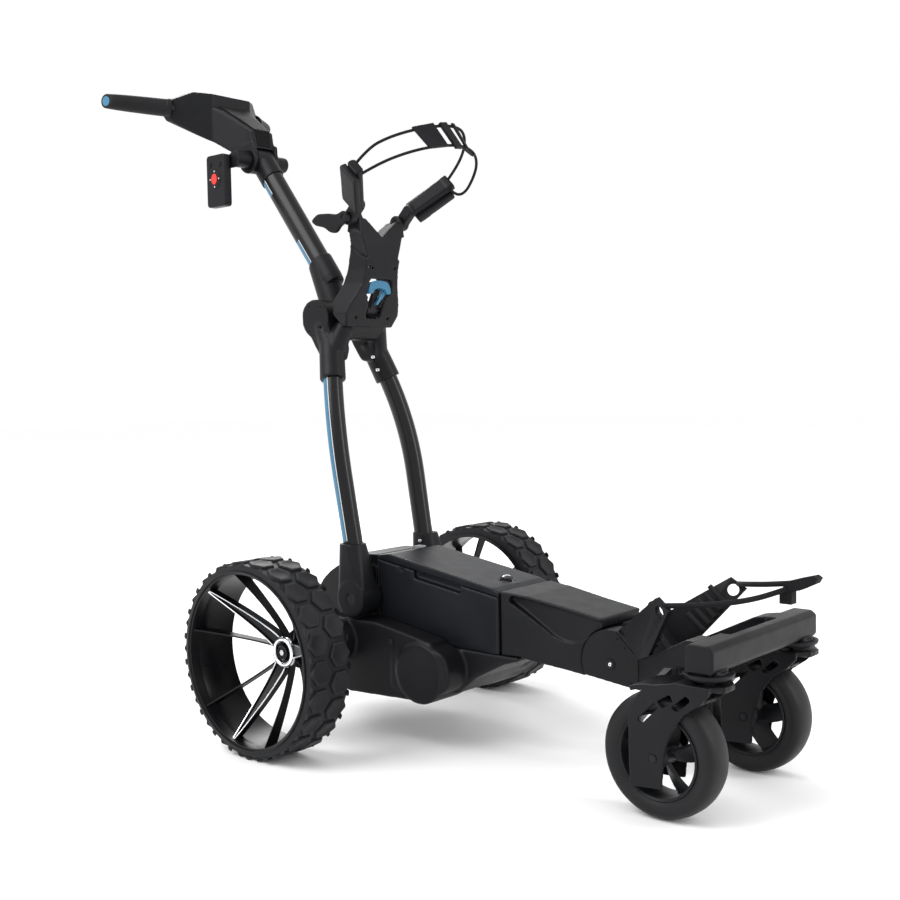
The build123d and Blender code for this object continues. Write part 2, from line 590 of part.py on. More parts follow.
def mast_bar(w, t):
    length = (Vector(*MAST_TO) - Vector(*MAST_FROM)).length
    return extrude(mast_section(Vector(*MAST_FROM), w, t), amount=length, dir=MAST_DIR)


def mast_foot():
    foot = rod_y(ELBOW_R - 4.5, -CHEEK_Y0 + GAP, CHEEK_Y0 - GAP, ELBOW_X, ELBOW_Z)
    low = Plane(origin=(ELBOW_X - 8, 0, ELBOW_Z + 8), x_dir=(0, 1, 0), z_dir=(-0.3, 0, 0.95)) * Ellipse(26, 28)
    top = mast_section(Vector(*MAST_FROM) + MAST_DIR * 42, MAST_W + 7, MAST_T + 7)
    foot += loft([low, top])
    foot -= mast_bar(MAST_W, MAST_T)
    return foot - rod_y(ELBOW_PIN_R + RUN, -40, 40, ELBOW_X, ELBOW_Z)


def mast_head():
    head = rod_y(HEAD_R, -HEAD_HALF, HEAD_HALF, HUB_X, HUB_Z)
    head += rod_y(CROSS_R, -CROSS_HALF, CONSOLE_CHEEK_Y + 1, HUB_X, HUB_Z)
    head += rod_y(STUB_R, CONSOLE_CHEEK_Y, CROSS_HALF, HUB_X, HUB_Z)
    sleeve = mast_section(Vector(*MAST_TO) - MAST_DIR * 34, MAST_W + 5, HEAD_HALF * 2 - 0.4)
    head += extrude(sleeve, amount=40, dir=MAST_DIR)
    holder = block(-366, -300, -CROSS_HALF - 3, -CROSS_HALF, HUB_Z - 18, HUB_Z + 8)
    head += holder
    return head - mast_bar(MAST_W, MAST_T)


def mast():
    save("mast_foot", mast_foot())
    save("mast_tube", mast_bar(MAST_W, MAST_T) - mast_bar(MAST_W - 2 * TUBE_WALL, MAST_T - 2 * TUBE_WALL))
    save("mast_head", mast_head())


# ---------------------------------------------------------------- handle
CONSOLE_SIDE = [(-300, 1052), (-306, 1085), (-380, 1133), (-396, 1140), (-396, 1165), (-450, 1172)]
CONSOLE_SIDE += [(-488, 1162), (-492, 1126), (-460, 1112), (-404, 1076), (-352, 1046), (-330, 1040)]
CONSOLE_PLAN = [(-280, 24), (-320, 28), (-396, 47), (-450, 110), (-494, 113)]
CONSOLE_FACE = [(24, 1000), (30, 1040), (56, 1076), (106, 1112), (113, 1130), (110, 1150), (62, 1173)]


def handle_bar(r):
    ends = [GRIP_END, GRIP_ROOT]
    points = ends + [(x, -y, z) for x, y, z in reversed(ends)]
    path = FilletPolyline(*points, radius=40)
    return sweep(Plane(origin=path @ 0, z_dir=path % 0) * Circle(r), path=path)


def console_housing():
    plan = CONSOLE_PLAN + [(x, -y) for x, y in reversed(CONSOLE_PLAN)]
    body = slab(CONSOLE_SIDE, -130, 130) & plan_slab(plan, 950, 1200)
    body &= front_slab(mirrored(CONSOLE_FACE), -600, -200)
    body -= block(-476, -410, -60, 60, 1126, 1162)
    cheek = rod_y(HEAD_R + 1, HEAD_HALF + GAP, CONSOLE_CHEEK_Y, HUB_X, HUB_Z)
    cheek += slab([(-294, 1029), (-296, 1060), (-350, 1056), (-341, 1029)], HEAD_HALF + GAP, CONSOLE_CHEEK_Y)
    body += both_sides(cheek)
    body -= rod_y(HEAD_R + 2, -HEAD_HALF - GAP, HEAD_HALF + GAP, HUB_X, HUB_Z)
    body -= rod_y(CROSS_R + RUN, -80, 80, HUB_X, HUB_Z)
    return body - handle_bar(BAR_R)


def console_panel():
    """The raised inlay on the sloping front of the console."""
    side = [(-303.5, 1083.4), (-306, 1085), (-380, 1133), (-377.5, 1136), (-303, 1088)]
    face = mirrored([(12, 1080), (20, 1092), (34, 1131), (34, 1140)])
    return slab(side, -60, 60) & front_slab(face, -500, -200)


def handle_grips():
    root, end = Vector(*GRIP_ROOT), Vector(*GRIP_END)
    way = (end - root).normalized()
    start = root + way * 26
    grip = rod(GRIP_R, start, end) - rod(BAR_R, start - way * 5, end)
    return grip + rod(GRIP_R - 1.5, end, end + way * CAP_T)


def handle():
    save("console_housing", console_housing())
    save("console_panel", console_panel())
    save("handle_bar", handle_bar(BAR_R))
    grip = handle_grips()
    save("handle_grips", grip, other_side(grip))


# ---------------------------------------------------------------- remote control
def remote():
    back = -CROSS_HALF - 3 - GAP
    x0 = REMOTE_X1 - REMOTE_W
    case = block(x0, REMOTE_X1, back - REMOTE_T, back, REMOTE_TOP - REMOTE_H, REMOTE_TOP)
    case = fillet(case.edges().filter_by(Axis.Y), 7)
    bx, bz = (x0 + REMOTE_X1) / 2, REMOTE_TOP - REMOTE_H * 0.42
    case -= rod_y(REMOTE_BUTTON_R + 0.4, back - REMOTE_T - 1, back - REMOTE_T + 4, bx, bz)
    save("remote_case", case)
    save("remote_button", rod_y(REMOTE_BUTTON_R, back - REMOTE_T - 2, back - REMOTE_T + 2.2, bx, bz))


# ---------------------------------------------------------------- bag cradle
def bag_arm():
    y0 = EAR_Y1 + GAP
    eye = rod_y(ARM_EYE_R, y0, y0 + ARM_EYE_W, ARM_X, ARM_Z)
    knee = (ARM_X + 20, y0 + 8, ARM_Z + 20)
    arm = eye + eye_link(11, (ARM_X, ARM_Z), (knee[0], knee[2]), y0, y0 + ARM_EYE_W)
    tip = Vector(*ARM_TIP)
    way = tip - Vector(*knee)
    plane = Plane(origin=knee, x_dir=(0.7, 0, -0.7), z_dir=way)
    low = plane * RectangleRounded(26, ARM_T, 5)
    top = Plane(origin=tip, x_dir=(0.7, 0, -0.7), z_dir=way) * RectangleRounded(32, ARM_T, 6)
    arm += loft([low, top])
    head = Plane(origin=tip, x_dir=(0.7, 0, -0.7), z_dir=way)
    arm += extrude(head * RectangleRounded(32, 16, 6), amount=12, dir=way.normalized())
    return arm - rod_y(ARM_PIN_R + RUN, y0 - 1, y0 + 16, ARM_X, ARM_Z), plane, way.length


def bag_cradle():
    arm, plane, length = bag_arm()
    save("bag_arms", arm, other_side(arm))
    pad = plane * Pos(0, ARM_T / 2 + 5, length * 0.55) * Box(44, 10, 76)
    pad -= arm
    save("arm_pads", pad, other_side(pad))
    lever_y = EAR_Y1 + GAP + ARM_EYE_W + GAP
    lever = rod_y(11, -lever_y - 10, -lever_y, ARM_X, ARM_Z)
    lever += slab([(-4, 880), (-74, 870), (-77, 880), (-4, 893)], -lever_y - 9, -lever_y - 1)
    lever -= rod_y(ARM_PIN_R + RUN, -lever_y - 8 - RUN, -lever_y + 1, ARM_X, ARM_Z)
    save("clamp_lever", lever)


# ---------------------------------------------------------------- elastic straps
def cord(points, d, name):
    """A round cord along straight runs joined by arcs as large as the runs allow."""
    points = [Vector(*p) for p in points]
    radii = []
    for a, b, c in zip(points, points[1:], points[2:]):
        turn = math.radians((b - a).get_angle(c - b))
        radii.append(0.45 * min((b - a).length, (c - b).length) / math.tan(turn / 2))
    print(name, "radii", [round(r) for r in radii])
    path = FilletPolyline(*points, radius=radii)
    return sweep(Plane(origin=path @ 0, z_dir=path % 0) * Circle(d / 2), path=path)


def plate_between(a, b, along, width, thickness, over):
    """A flat fitting that spans from point a to point b, width along the cords."""
    a, b, along = Vector(*a), Vector(*b), Vector(*along)
    plane = Plane(origin=(a + b) / 2, x_dir=b - a, z_dir=(b - a).cross(along))
    return plane * Box((b - a).length + over, width, thickness)


def straps():
    save("upper_strap", cord(UPPER_A, STRAP_D, "upper strap, top strand"), cord(UPPER_B, STRAP_D, "upper strap, low strand"))
    way = (0.55, 0.8, 0.2)
    buckle = plate_between((124, -37, 1013), (142, -31, 980), way, 30, 9, 12)
    bar = plate_between((148, 12, 1024), (157, 18, 989), way, 9, 6, 10)
    slider = plate_between((132, 97, 986), (127, 104, 952), (0, 1, 0), 9, 7, 14)
    save("strap_buckles", buckle, bar, slider)
    save("lower_strap", cord(LOWER_A, LOWER_STRAP_D, "lower strap, right strand"), cord(LOWER_B, LOWER_STRAP_D, "lower strap, left strand"))
    tab = slab([(768, 304), (768, 318), (790, 325), (812, 331), (818, 327), (814, 320), (792, 309)], -9, 9)
    tab += block(762, 780, -8, 8, 288, 306)
    save("strap_tab", tab)


UPPER_A = [(52, -108, 962), (78, -97, 985), (100, -70, 1001), (124, -37, 1013), (142, -4, 1022)]
UPPER_A += [(152, 30, 1027), (148, 63, 1022), (130, 88, 1002), (98, 105, 978), (67, 113, 962)]
UPPER_B = [(74, -110, 947), (94, -92, 956), (119, -62, 970), (142, -31, 980), (156, 3, 987)]
UPPER_B += [(165, 38, 991), (163, 72, 986), (147, 97, 972), (127, 108, 952), (107, 112, 933)]
UPPER_B += [(84, 113, 932), (70, 113, 946)]
LOWER_A = [(640, -109, 287), (668, -101, 289), (700, -81, 291), (727, -56, 294), (752, -31, 300), (772, -8, 309)]
LOWER_B = [(639, 109, 287), (664, 67, 295), (697, 38, 302), (735, 21, 308), (772, 8, 315)]


os.makedirs("parts", exist_ok=True)
rear_wheels()
chassis()
battery()
save("front_arm", front_arm())
save("crossbar", crossbar())
wings()
save("knuckle_pin", rod_y(PIN_R, -KNUCKLE_HALF, KNUCKLE_HALF, KNUCKLE_X, KNUCKLE_Z))
casters()
legs()
mast()
handle()
remote()
bag_cradle()
straps()
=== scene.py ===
import json
import math

import bmesh
import bpy
from mathutils import Matrix, Vector


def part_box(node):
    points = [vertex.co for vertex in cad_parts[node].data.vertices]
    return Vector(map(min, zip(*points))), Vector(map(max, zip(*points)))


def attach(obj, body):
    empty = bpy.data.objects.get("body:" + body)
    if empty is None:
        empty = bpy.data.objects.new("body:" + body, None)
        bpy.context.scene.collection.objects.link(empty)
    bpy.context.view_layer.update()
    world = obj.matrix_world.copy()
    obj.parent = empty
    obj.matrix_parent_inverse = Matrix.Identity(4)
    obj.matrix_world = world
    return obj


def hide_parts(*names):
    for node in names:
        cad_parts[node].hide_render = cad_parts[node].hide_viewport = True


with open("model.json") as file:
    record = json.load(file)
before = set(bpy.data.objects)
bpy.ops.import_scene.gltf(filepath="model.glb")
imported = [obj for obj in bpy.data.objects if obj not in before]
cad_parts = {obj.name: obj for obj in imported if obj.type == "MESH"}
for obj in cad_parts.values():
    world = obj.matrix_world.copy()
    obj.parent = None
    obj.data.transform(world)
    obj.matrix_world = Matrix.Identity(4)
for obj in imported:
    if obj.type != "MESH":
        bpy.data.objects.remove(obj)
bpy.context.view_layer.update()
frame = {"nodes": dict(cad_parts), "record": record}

MM = 0.001
NODES = frame["nodes"]
BEVEL_ANGLE = math.radians(28)  # edges that turn more than this are bevelled
BUILD_MERGE, WORK_MERGE = 1e-6, 2e-6  # metres: points closer than this are one point


def linked(name, data):
    """A new object in the scene."""
    piece = bpy.data.objects.new(name, data)
    bpy.context.scene.collection.objects.link(piece)
    return piece


# ---------------------------------------------------------------- camera, floor and light
def make_camera():
    """The camera that was solved for the photograph, in metres."""
    place = Vector((1.5106, -1.5462, 0.6051))
    target = Vector((0.1588, 0.0, 0.4843))
    forward = (target - place).normalized()
    right = forward.cross(Vector((0, 0, 1))).normalized()
    up = right.cross(forward)
    roll = math.radians(-1.055)
    x = right * math.cos(roll) + up * math.sin(roll)
    y = -right * math.sin(roll) + up * math.cos(roll)
    camera = linked("camera", bpy.data.cameras.new("camera"))
    camera.data.sensor_width = 36.0
    camera.data.lens = 48.46
    camera.matrix_world = Matrix.Translation(place) @ Matrix((x, y, -forward)).transposed().to_4x4()
    bpy.context.scene.camera = camera


def area_light(name, place, target, size, power):
    data = bpy.data.lights.new(name, "AREA")
    data.shape = "RECTANGLE"
    data.size, data.size_y = size
    data.energy = power
    light = linked(name, data)
    light.location = place
    aim = Vector(target) - Vector(place)
    light.rotation_mode = "QUATERNION"
    light.rotation_quaternion = aim.to_track_quat("-Z", "Y")


def make_studio():
    """A pale floor, a white surround and three soft lights."""
    mesh = bpy.data.meshes.new("floor")
    half = 14.0
    mesh.from_pydata([(-half, -half, 0), (half, -half, 0), (half, half, 0), (-half, half, 0)], [], [(0, 1, 2, 3)])
    floor = linked("floor", mesh)
    floor.data.materials.append(surface("floor", (0.99, 0.99, 0.99), 0.9, tone=0.004, grain=0.0))
    world = bpy.data.worlds.new("studio")
    bpy.context.scene.world = world
    world.use_nodes = True
    put(world.node_tree.nodes["Background"], {"Color": (1.0, 1.0, 1.0, 1), "Strength": 1.0})
    area_light("key", (-0.9, -2.6, 3.0), (0.1, 0, 0.3), (2.4, 2.4), 90)
    area_light("side", (3.4, 1.2, 1.9), (0.4, 0, 0.4), (0.4, 2.4), 42)
    area_light("rim", (-2.6, 1.8, 2.4), (0.0, 0, 0.5), (1.5, 2.5), 50)
    view = bpy.context.scene.view_settings
    view.view_transform = "Standard"
    view.exposure = 0.0


# ---------------------------------------------------------------- materials
def put(node, values):
    """Set constant values on a shader node's own sockets."""
    for socket, value in values.items():
        node.inputs[socket].default_value = value


def stops(ramp, *pairs):
    """Position and colour of a colour ramp's two stops."""
    for element, (position, colour) in zip(ramp.color_ramp.elements, pairs):
        element.position = position
        element.color = (*colour, 1)


def surface(name, colour, rough, metal=0.0, tone=0.25, grain=900.0, bump=0.05, wear=0.0, coat=0.0,
            rough_var=0.08, gloss=0.2):
    """Procedural finish: uneven tone, uneven gloss, fine moulding grain and lighter worn edges."""
    mat = bpy.data.materials.new(name)
    mat.use_nodes = True
    tree = mat.node_tree
    nodes, links = tree.nodes, tree.links
    shader = nodes["Principled BSDF"]
    put(shader, {"Metallic": metal, "Specular IOR Level": 0.5 if metal else gloss, "Coat Weight": coat,
                 "Coat Roughness": 0.08})
    where = nodes.new("ShaderNodeTexCoord")

    def noise(scale, detail):
        node = nodes.new("ShaderNodeTexNoise")
        put(node, {"Scale": scale, "Detail": detail})
        links.new(where.outputs["Object"], node.inputs["Vector"])
        return node

    cloud = noise(14.0, 4.0)
    ramp = nodes.new("ShaderNodeValToRGB")
    stops(ramp, (0.3, [c * (1 - tone) for c in colour]), (0.7, [min(1, c * (1 + tone)) for c in colour]))
    links.new(cloud.outputs["Fac"], ramp.inputs["Fac"])
    base = ramp.outputs["Color"]
    if wear:
        geometry = nodes.new("ShaderNodeNewGeometry")
        edge = nodes.new("ShaderNodeValToRGB")
        stops(edge, (0.52, (0, 0, 0)), (0.62, (wear, wear, wear)))
        links.new(geometry.outputs["Pointiness"], edge.inputs["Fac"])
        mix = nodes.new("ShaderNodeMix")
        mix.data_type = "RGBA"
        links.new(edge.outputs["Color"], mix.inputs["Factor"])
        links.new(base, mix.inputs["A"])
        mix.inputs["B"].default_value = (*[min(1, 2.5 * c + 0.012) for c in colour], 1)
        base = mix.outputs["Result"]
    links.new(base, shader.inputs["Base Color"])
    spread = nodes.new("ShaderNodeMapRange")
    put(spread, {"To Min": max(0.02, rough - rough_var), "To Max": min(1.0, rough + rough_var)})
    links.new(noise(45.0, 3.0).outputs["Fac"], spread.inputs["Value"])
    links.new(spread.outputs["Result"], shader.inputs["Roughness"])
    if grain:
        lift = nodes.new("ShaderNodeBump")
        put(lift, {"Strength": bump, "Distance": 0.001})
        links.new(noise(grain, 2.0).outputs["Fac"], lift.inputs["Height"])
        links.new(lift.outputs["Normal"], shader.inputs["Normal"])
    return mat


def braid(name, colour, pitch):
    """Woven sleeve of an elastic cord: two crossing bands of threads."""
    mat = surface(name, colour, 0.75, grain=0.0)
    tree = mat.node_tree
    nodes, links = tree.nodes, tree.links
    shader = nodes["Principled BSDF"]
    where = nodes.new("ShaderNodeTexCoord")
    waves = []
    for turn in (0.6, -0.6):
        place = nodes.new("ShaderNodeMapping")
        place.inputs["Rotation"].default_value = (turn, turn, turn)
        links.new(where.outputs["Object"], place.inputs["Vector"])
        wave = nodes.new("ShaderNodeTexWave")
        put(wave, {"Scale": pitch, "Distortion": 0.6})
        links.new(place.outputs["Vector"], wave.inputs["Vector"])
        waves.append(wave)
    both = nodes.new("ShaderNodeMath")
    both.operation = "MAXIMUM"
    links.new(waves[0].outputs["Fac"], both.inputs[0])
    links.new(waves[1].outputs["Fac"], both.inputs[1])
    lift = nodes.new("ShaderNodeBump")
    put(lift, {"Strength": 0.6, "Distance": 0.0006})
    links.new(both.outputs["Value"], lift.inputs["Height"])
    links.new(lift.outputs["Normal"], shader.inputs["Normal"])
    return mat


MAT = {
    "shell": surface("shell", (0.0060, 0.0062, 0.0076), 0.42, grain=1100, bump=0.10, wear=0.3, gloss=0.17),
    "battery": surface("battery", (0.0062, 0.0068, 0.0095), 0.38, grain=1000, bump=0.09, wear=0.25, gloss=0.17),
    # Dark grey for pins, axles and small inner parts; it also paints the screws' sockets as painted shade.
    "inner": surface("inner", (0.012, 0.012, 0.014), 0.6),
    "tube": surface("tube", (0.0035, 0.0036, 0.0045), 0.30, tone=0.1, grain=260, bump=0.02, coat=0.07,
                    rough_var=0.04, gloss=0.25),
    "steel": surface("steel", (0.56, 0.56, 0.57), 0.32, metal=1.0, tone=0.06, grain=1500, bump=0.05),
    "chrome": surface("chrome", (0.82, 0.83, 0.85), 0.12, metal=1.0, tone=0.02, grain=0, rough_var=0.05),
    "rear_tyre": surface("rear_tyre", (0.0070, 0.0072, 0.0088), 0.50, grain=700, bump=0.16, wear=0.25, gloss=0.2),
    "front_tyre": surface("front_tyre", (0.0085, 0.0087, 0.0098), 0.48, grain=800, bump=0.12, gloss=0.22),
    "rear_rim": surface("rear_rim", (0.0035, 0.0035, 0.0045), 0.30, grain=900, bump=0.04, gloss=0.22),
    "front_rim": surface("front_rim", (0.010, 0.0105, 0.012), 0.40, grain=900, bump=0.08, wear=0.3),
    "grip": surface("grip", (0.0062, 0.0062, 0.0074), 0.58, grain=420, bump=0.35, gloss=0.2),
    "panel": surface("panel", (0.0050, 0.0052, 0.0060), 0.55, grain=1100, bump=0.08, gloss=0.08),
    "cord": braid("cord", (0.0075, 0.0075, 0.009), 380.0),
    "pad": surface("pad", (0.0078, 0.008, 0.0095), 0.55, grain=600, bump=0.25, gloss=0.22),
    "blue": surface("blue", (0.035, 0.155, 0.27), 0.30, tone=0.1, grain=900, bump=0.05, gloss=0.4),
    "red": surface("red", (0.72, 0.03, 0.02), 0.30, tone=0.1, grain=900, bump=0.05, gloss=0.4),
    "cell": surface("cell", (0.3, 0.31, 0.33), 0.4, metal=1.0),
    "tab": surface("tab", (0.30, 0.31, 0.33), 0.35, tone=0.08, grain=900, bump=0.05, gloss=0.5),
    # Light grey: the remote's printed dots, and the painted highlight lines beside the tubes' blue stripes.
    "dot": surface("dot", (0.55, 0.56, 0.58), 0.4, tone=0.05, grain=900, bump=0.05, gloss=0.4),
}


# ---------------------------------------------------------------- mesh helpers
def finish_mesh(name, mesh, body, mat, slot, nodes, bevel=0.0, segments=2, sharp=None):
    """Smooth shading, material and bevel for a mesh, which then rides on its body."""
    for poly in mesh.polygons:
        poly.use_smooth = True
    piece = linked(name, mesh)
    piece.data.materials.clear()
    piece.data.materials.append(MAT[mat])
    if sharp is not None:
        mesh.set_sharp_from_angle(angle=math.radians(sharp))
    if bevel:
        mod = piece.modifiers.new("bevel", "BEVEL")
        mod.width = bevel * MM
        mod.segments = segments
        mod.limit_method = "ANGLE"
        mod.angle_limit = BEVEL_ANGLE
        mod.harden_normals = True
        mod.use_clamp_overlap = True
    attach(piece, body)
    slot or mat
    if nodes:
        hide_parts(*nodes)
    return piece


def mesh_of(name, verts, faces, merge):
    """A mesh from points in millimetres, doubled points merged and normals outward."""
    mesh = bpy.data.meshes.new(name)
    mesh.from_pydata([(x * MM, y * MM, z * MM) for x, y, z in verts], [], faces)
    work = bmesh.new()
    work.from_mesh(mesh)
    bmesh.ops.remove_doubles(work, verts=work.verts, dist=merge)
    bmesh.ops.recalc_face_normals(work, faces=work.faces)
    work.to_mesh(mesh)
    work.free()
    return mesh


def build(name, verts, faces, body, mat, slot=None, nodes=(), bevel=0.0, segments=2, sharp=None):
    """A piece from points in millimetres."""
    mesh = mesh_of(name, verts, faces, BUILD_MERGE)
    return finish_mesh(name, mesh, body, mat, slot, nodes, bevel, segments, sharp)


def node_body(node):
    bodies = frame["record"]["behaviour"]["bodies"]
    return next(b for b, names in bodies.items() if node in names)


def node_slot(node):
    return next(s["material_slot"] for s in frame["record"]["subparts"] if s["node"] == node)


def skin(node):
    """The CAD node's own shape with its edges rounded as a moulding's are."""
    mesh = NODES[node].data.copy()
    work = bmesh.new()
    work.from_mesh(mesh)
    bmesh.ops.remove_doubles(work, verts=work.verts, dist=WORK_MERGE)
    bmesh.ops.dissolve_limit(work, angle_limit=math.radians(1.5), verts=work.verts, edges=work.edges)
    work.to_mesh(mesh)
    work.free()
    slot = node_slot(node)
    return finish_mesh(node + "_skin", mesh, node_body(node), slot, slot, [node], bevel=1.2)


# ---------------------------------------------------------------- more mesh helpers
def sides():
    """The two sides of the trolley: name ending and sign of y."""
    return (("right", -1), ("left", 1))


def sign_name(sign):
    return "left" if sign > 0 else "right"


def sided(verts, sign):
    """Points of the left side, or of the right when sign is -1."""
    return [(x, sign * y, z) for x, y, z in verts]


def turned(profile, x, z, segments=96, sign=1):
    """Closed ring about the Y axis through (x, z); profile points are (radius, y)."""
    verts, faces = [], []
    n = len(profile)
    for a in circle(segments):
        for r, y in profile:
            verts.append((x + r * math.cos(a), sign * y, z + r * math.sin(a)))
    for k in range(segments):
        for i in range(n):
            a, b = k * n, (k + 1) % segments * n
            faces.append((a + i, a + (i + 1) % n, b + (i + 1) % n, b + i))
    return verts, faces


def join(*parts):
    """Several shapes as one."""
    verts, faces = [], []
    for v, f in parts:
        base = len(verts)
        verts += v
        faces += [tuple(base + i for i in face) for face in f]
    return verts, faces


def ring_faces(n, steps):
    """Side faces between steps + 1 rings of n points."""
    faces = []
    for k in range(steps):
        a, b = k * n, (k + 1) * n
        faces += [(a + i, a + (i + 1) % n, b + (i + 1) % n, b + i) for i in range(n)]
    return faces


def closed_faces(n, steps):
    """The side faces and the two ends."""
    return ring_faces(n, steps) + [tuple(range(n))[::-1], tuple(range(steps * n, (steps + 1) * n))]


def circle(n):
    """Angles of n points round a circle."""
    return [2 * math.pi * k / n for k in range(n)]


def bar(points, section):
    """A bar through 3-D points; section(i, point) gives its ring of 3-D points there."""
    rings = [section(i, Vector(p)) for i, p in enumerate(points)]
    return [tuple(v) for ring in rings for v in ring], closed_faces(len(rings[0]), len(rings) - 1)


def prism(low, high):
    """A solid between two outlines of as many points."""
    n = len(low)
    faces = [tuple(range(n)), tuple(range(2 * n - 1, n - 1, -1))]
    return low + high, faces + ring_faces(n, 1)


def slab(outline, y0, y1):
    """A plate with this XZ outline, from y0 to y1."""
    return prism([(x, y0, z) for x, z in outline], [(x, y1, z) for x, z in outline])


def front_slab(outline, x0, x1):
    """A plate with this YZ outline, from x0 to x1."""
    return prism([(x0, y, z) for y, z in outline], [(x1, y, z) for y, z in outline])


def plan_slab(outline, z0, z1):
    """A plate with this XY outline, from z0 to z1."""
    return prism([(x, y, z0) for x, y in outline], [(x, y, z1) for x, y in outline])


def node_mesh(node):
    """A CAD node's own solids as points in millimetres and faces."""
    mesh = NODES[node].data
    return [tuple(c / MM for c in v.co) for v in mesh.vertices], [tuple(p.vertices) for p in mesh.polygons]


def scratch(name, verts, faces):
    """A working object, not part of the model."""
    return linked(name, mesh_of(name, verts, faces, WORK_MERGE))


def settled(piece):
    """The working object's mesh with its modifiers applied; the object is removed."""
    bpy.context.view_layer.update()
    graph = bpy.context.evaluated_depsgraph_get()
    mesh = bpy.data.meshes.new_from_object(piece.evaluated_get(graph))
    bpy.data.objects.remove(piece)
    return mesh


def cut_out(piece, cutters):
    """Take each cutter's shape out of the piece."""
    for cutter in cutters:
        mod = piece.modifiers.new("cut", "BOOLEAN")
        mod.operation = "DIFFERENCE"
        mod.solver = "EXACT"
        mod.object = cutter


def moulded(name, parts, body, mat, nodes=(), slot=None, cuts=(), grooves=(), voxel=1.8, rounds=6, keep=0.5,
            sharp=32, swell=0.0):
    """One moulding: its parts joined, cut, then softened at every edge; grooves stay crisp."""
    piece = scratch(name + "_work", *join(*parts))
    fuse = piece.modifiers.new("fuse", "REMESH")
    fuse.mode = "VOXEL"
    fuse.voxel_size = voxel * MM
    tools = [scratch(name + "_cut", *c) for c in cuts]
    if tools:
        cut_out(piece, tools)
        again = piece.modifiers.new("again", "REMESH")
        again.mode = "VOXEL"
        again.voxel_size = voxel * MM
    soft = piece.modifiers.new("soft", "SMOOTH")
    soft.factor = 0.5
    soft.iterations = rounds
    if swell:
        puff = piece.modifiers.new("puff", "DISPLACE")
        puff.strength = swell * MM
        puff.mid_level = 0.0
    thin = piece.modifiers.new("thin", "DECIMATE")
    thin.ratio = keep
    lines = [scratch(name + "_groove", *g) for g in grooves]
    cut_out(piece, lines)
    mesh = settled(piece)
    for tool in tools + lines:
        bpy.data.objects.remove(tool)
    mesh.name = name
    mesh.materials.clear()
    return finish_mesh(name, mesh, body, mat, slot, nodes, sharp=sharp)


def flip(part):
    """The shape mirrored to the other side."""
    verts, faces = part
    return [(x, -y, z) for x, y, z in verts], [tuple(reversed(f)) for f in faces]


def rounded(points, radius, steps=5):
    """An outline with its corners rounded."""
    out = []
    n = len(points)
    for i in range(n):
        a, b, c = Vector(points[i - 1]), Vector(points[i]), Vector(points[(i + 1) % n])
        u, w = (a - b), (c - b)
        cut = min(radius, u.length / 2.2, w.length / 2.2)
        start, end = b + u.normalized() * cut, b + w.normalized() * cut
        for k in range(steps + 1):
            t = k / steps
            q = start * (1 - t) ** 2 + b * (2 * t * (1 - t)) + end * t ** 2
            out.append((q.x, q.y))
    return out


def upright(r0, r1, z0, z1, x, y, segments=48):
    """A round piece standing at (x, y), radius r0 below and r1 above."""
    levels = ((r0, z0), (r1, z1))
    verts = [(x + r * math.cos(a), y + r * math.sin(a), z) for r, z in levels for a in circle(segments)]
    return verts, closed_faces(segments, 1)


def rod(a, b, r, segments=20, r_end=None):
    """A round bar from a to b."""
    a, b = Vector(a), Vector(b)
    way = (b - a).normalized()
    side = way.orthogonal().normalized()
    other = way.cross(side)
    verts = []
    for p, radius in ((a, r), (b, r if r_end is None else r_end)):
        for t in circle(segments):
            verts.append(tuple(p + side * (radius * math.cos(t)) + other * (radius * math.sin(t))))
    return verts, closed_faces(segments, 1)


def ring_section(points, r, sides_n=10):
    """Round section square to the line at each point."""
    pts = [Vector(p) for p in points]

    def section(i, p):
        way = (pts[min(i + 1, len(pts) - 1)] - pts[max(i - 1, 0)]).normalized()
        side = way.orthogonal().normalized()
        up = way.cross(side)
        radius = r(i) if callable(r) else r
        return [tuple(p + side * (radius * math.cos(a)) + up * (radius * math.sin(a))) for a in circle(sides_n)]

    return section


def screw(name, at, way, r, body, mat="chrome", depth=1.6):
    """A small socket screw: domed head with a dark disc on it, painted shade standing in for the socket's hollow."""
    at, way = Vector(at), Vector(way).normalized()
    head = join(rod(at - way * depth, at, r, 20), rod(at, at + way * (depth * 0.6), r, 20, r * 0.72))
    build(name, *head, body, mat, slot="steel", sharp=40)
    top = at + way * (depth * 0.6)
    # Painted shade: a dark disc on the head where the socket's hollow would be shaded.
    build(name + "_socket", *rod(top - way * 0.4, top + way * 0.15, r * 0.36, 6), body, "inner", slot="shell")


# ---------------------------------------------------------------- rear wheels
REAR_R = 160.0
REAR_Y = 285.0
TREAD_BASE = 155.6
TREAD_TOP = 159.9
TREAD_ROWS = 22
TREAD_HALF = 41.0
TREAD_GAP = 7.6
SPOKE_ANGLES = (13, 133, 253)
RIB_TURN = 33  # degrees from a spoke to the ribs beside it
NUT_R = 5.2


def clip(polygon, limit):
    """A convex (u, v) polygon cut to |v| <= limit."""
    for sign in (1, -1):
        out = []
        for (u0, v0), (u1, v1) in zip(polygon, polygon[1:] + polygon[:1]):
            d0, d1 = limit - sign * v0, limit - sign * v1
            if d0 >= 0:
                out.append((u0, v0))
            if (d0 > 0) != (d1 > 0) and abs(d0 - d1) > 1e-9:
                t = d0 / (d0 - d1)
                out.append((u0 + (u1 - u0) * t, v0 + (v1 - v0) * t))
        polygon = out
    return polygon


def inset(polygon, by):
    """The polygon shrunk towards its middle."""
    cu = sum(u for u, v in polygon) / len(polygon)
    cv = sum(v for u, v in polygon) / len(polygon)
    size = min(math.hypot(u - cu, v - cv) for u, v in polygon)
    share = max(0.35, 1 - by / size)
    return [(cu + (u - cu) * share, cv + (v - cv) * share) for u, v in polygon]


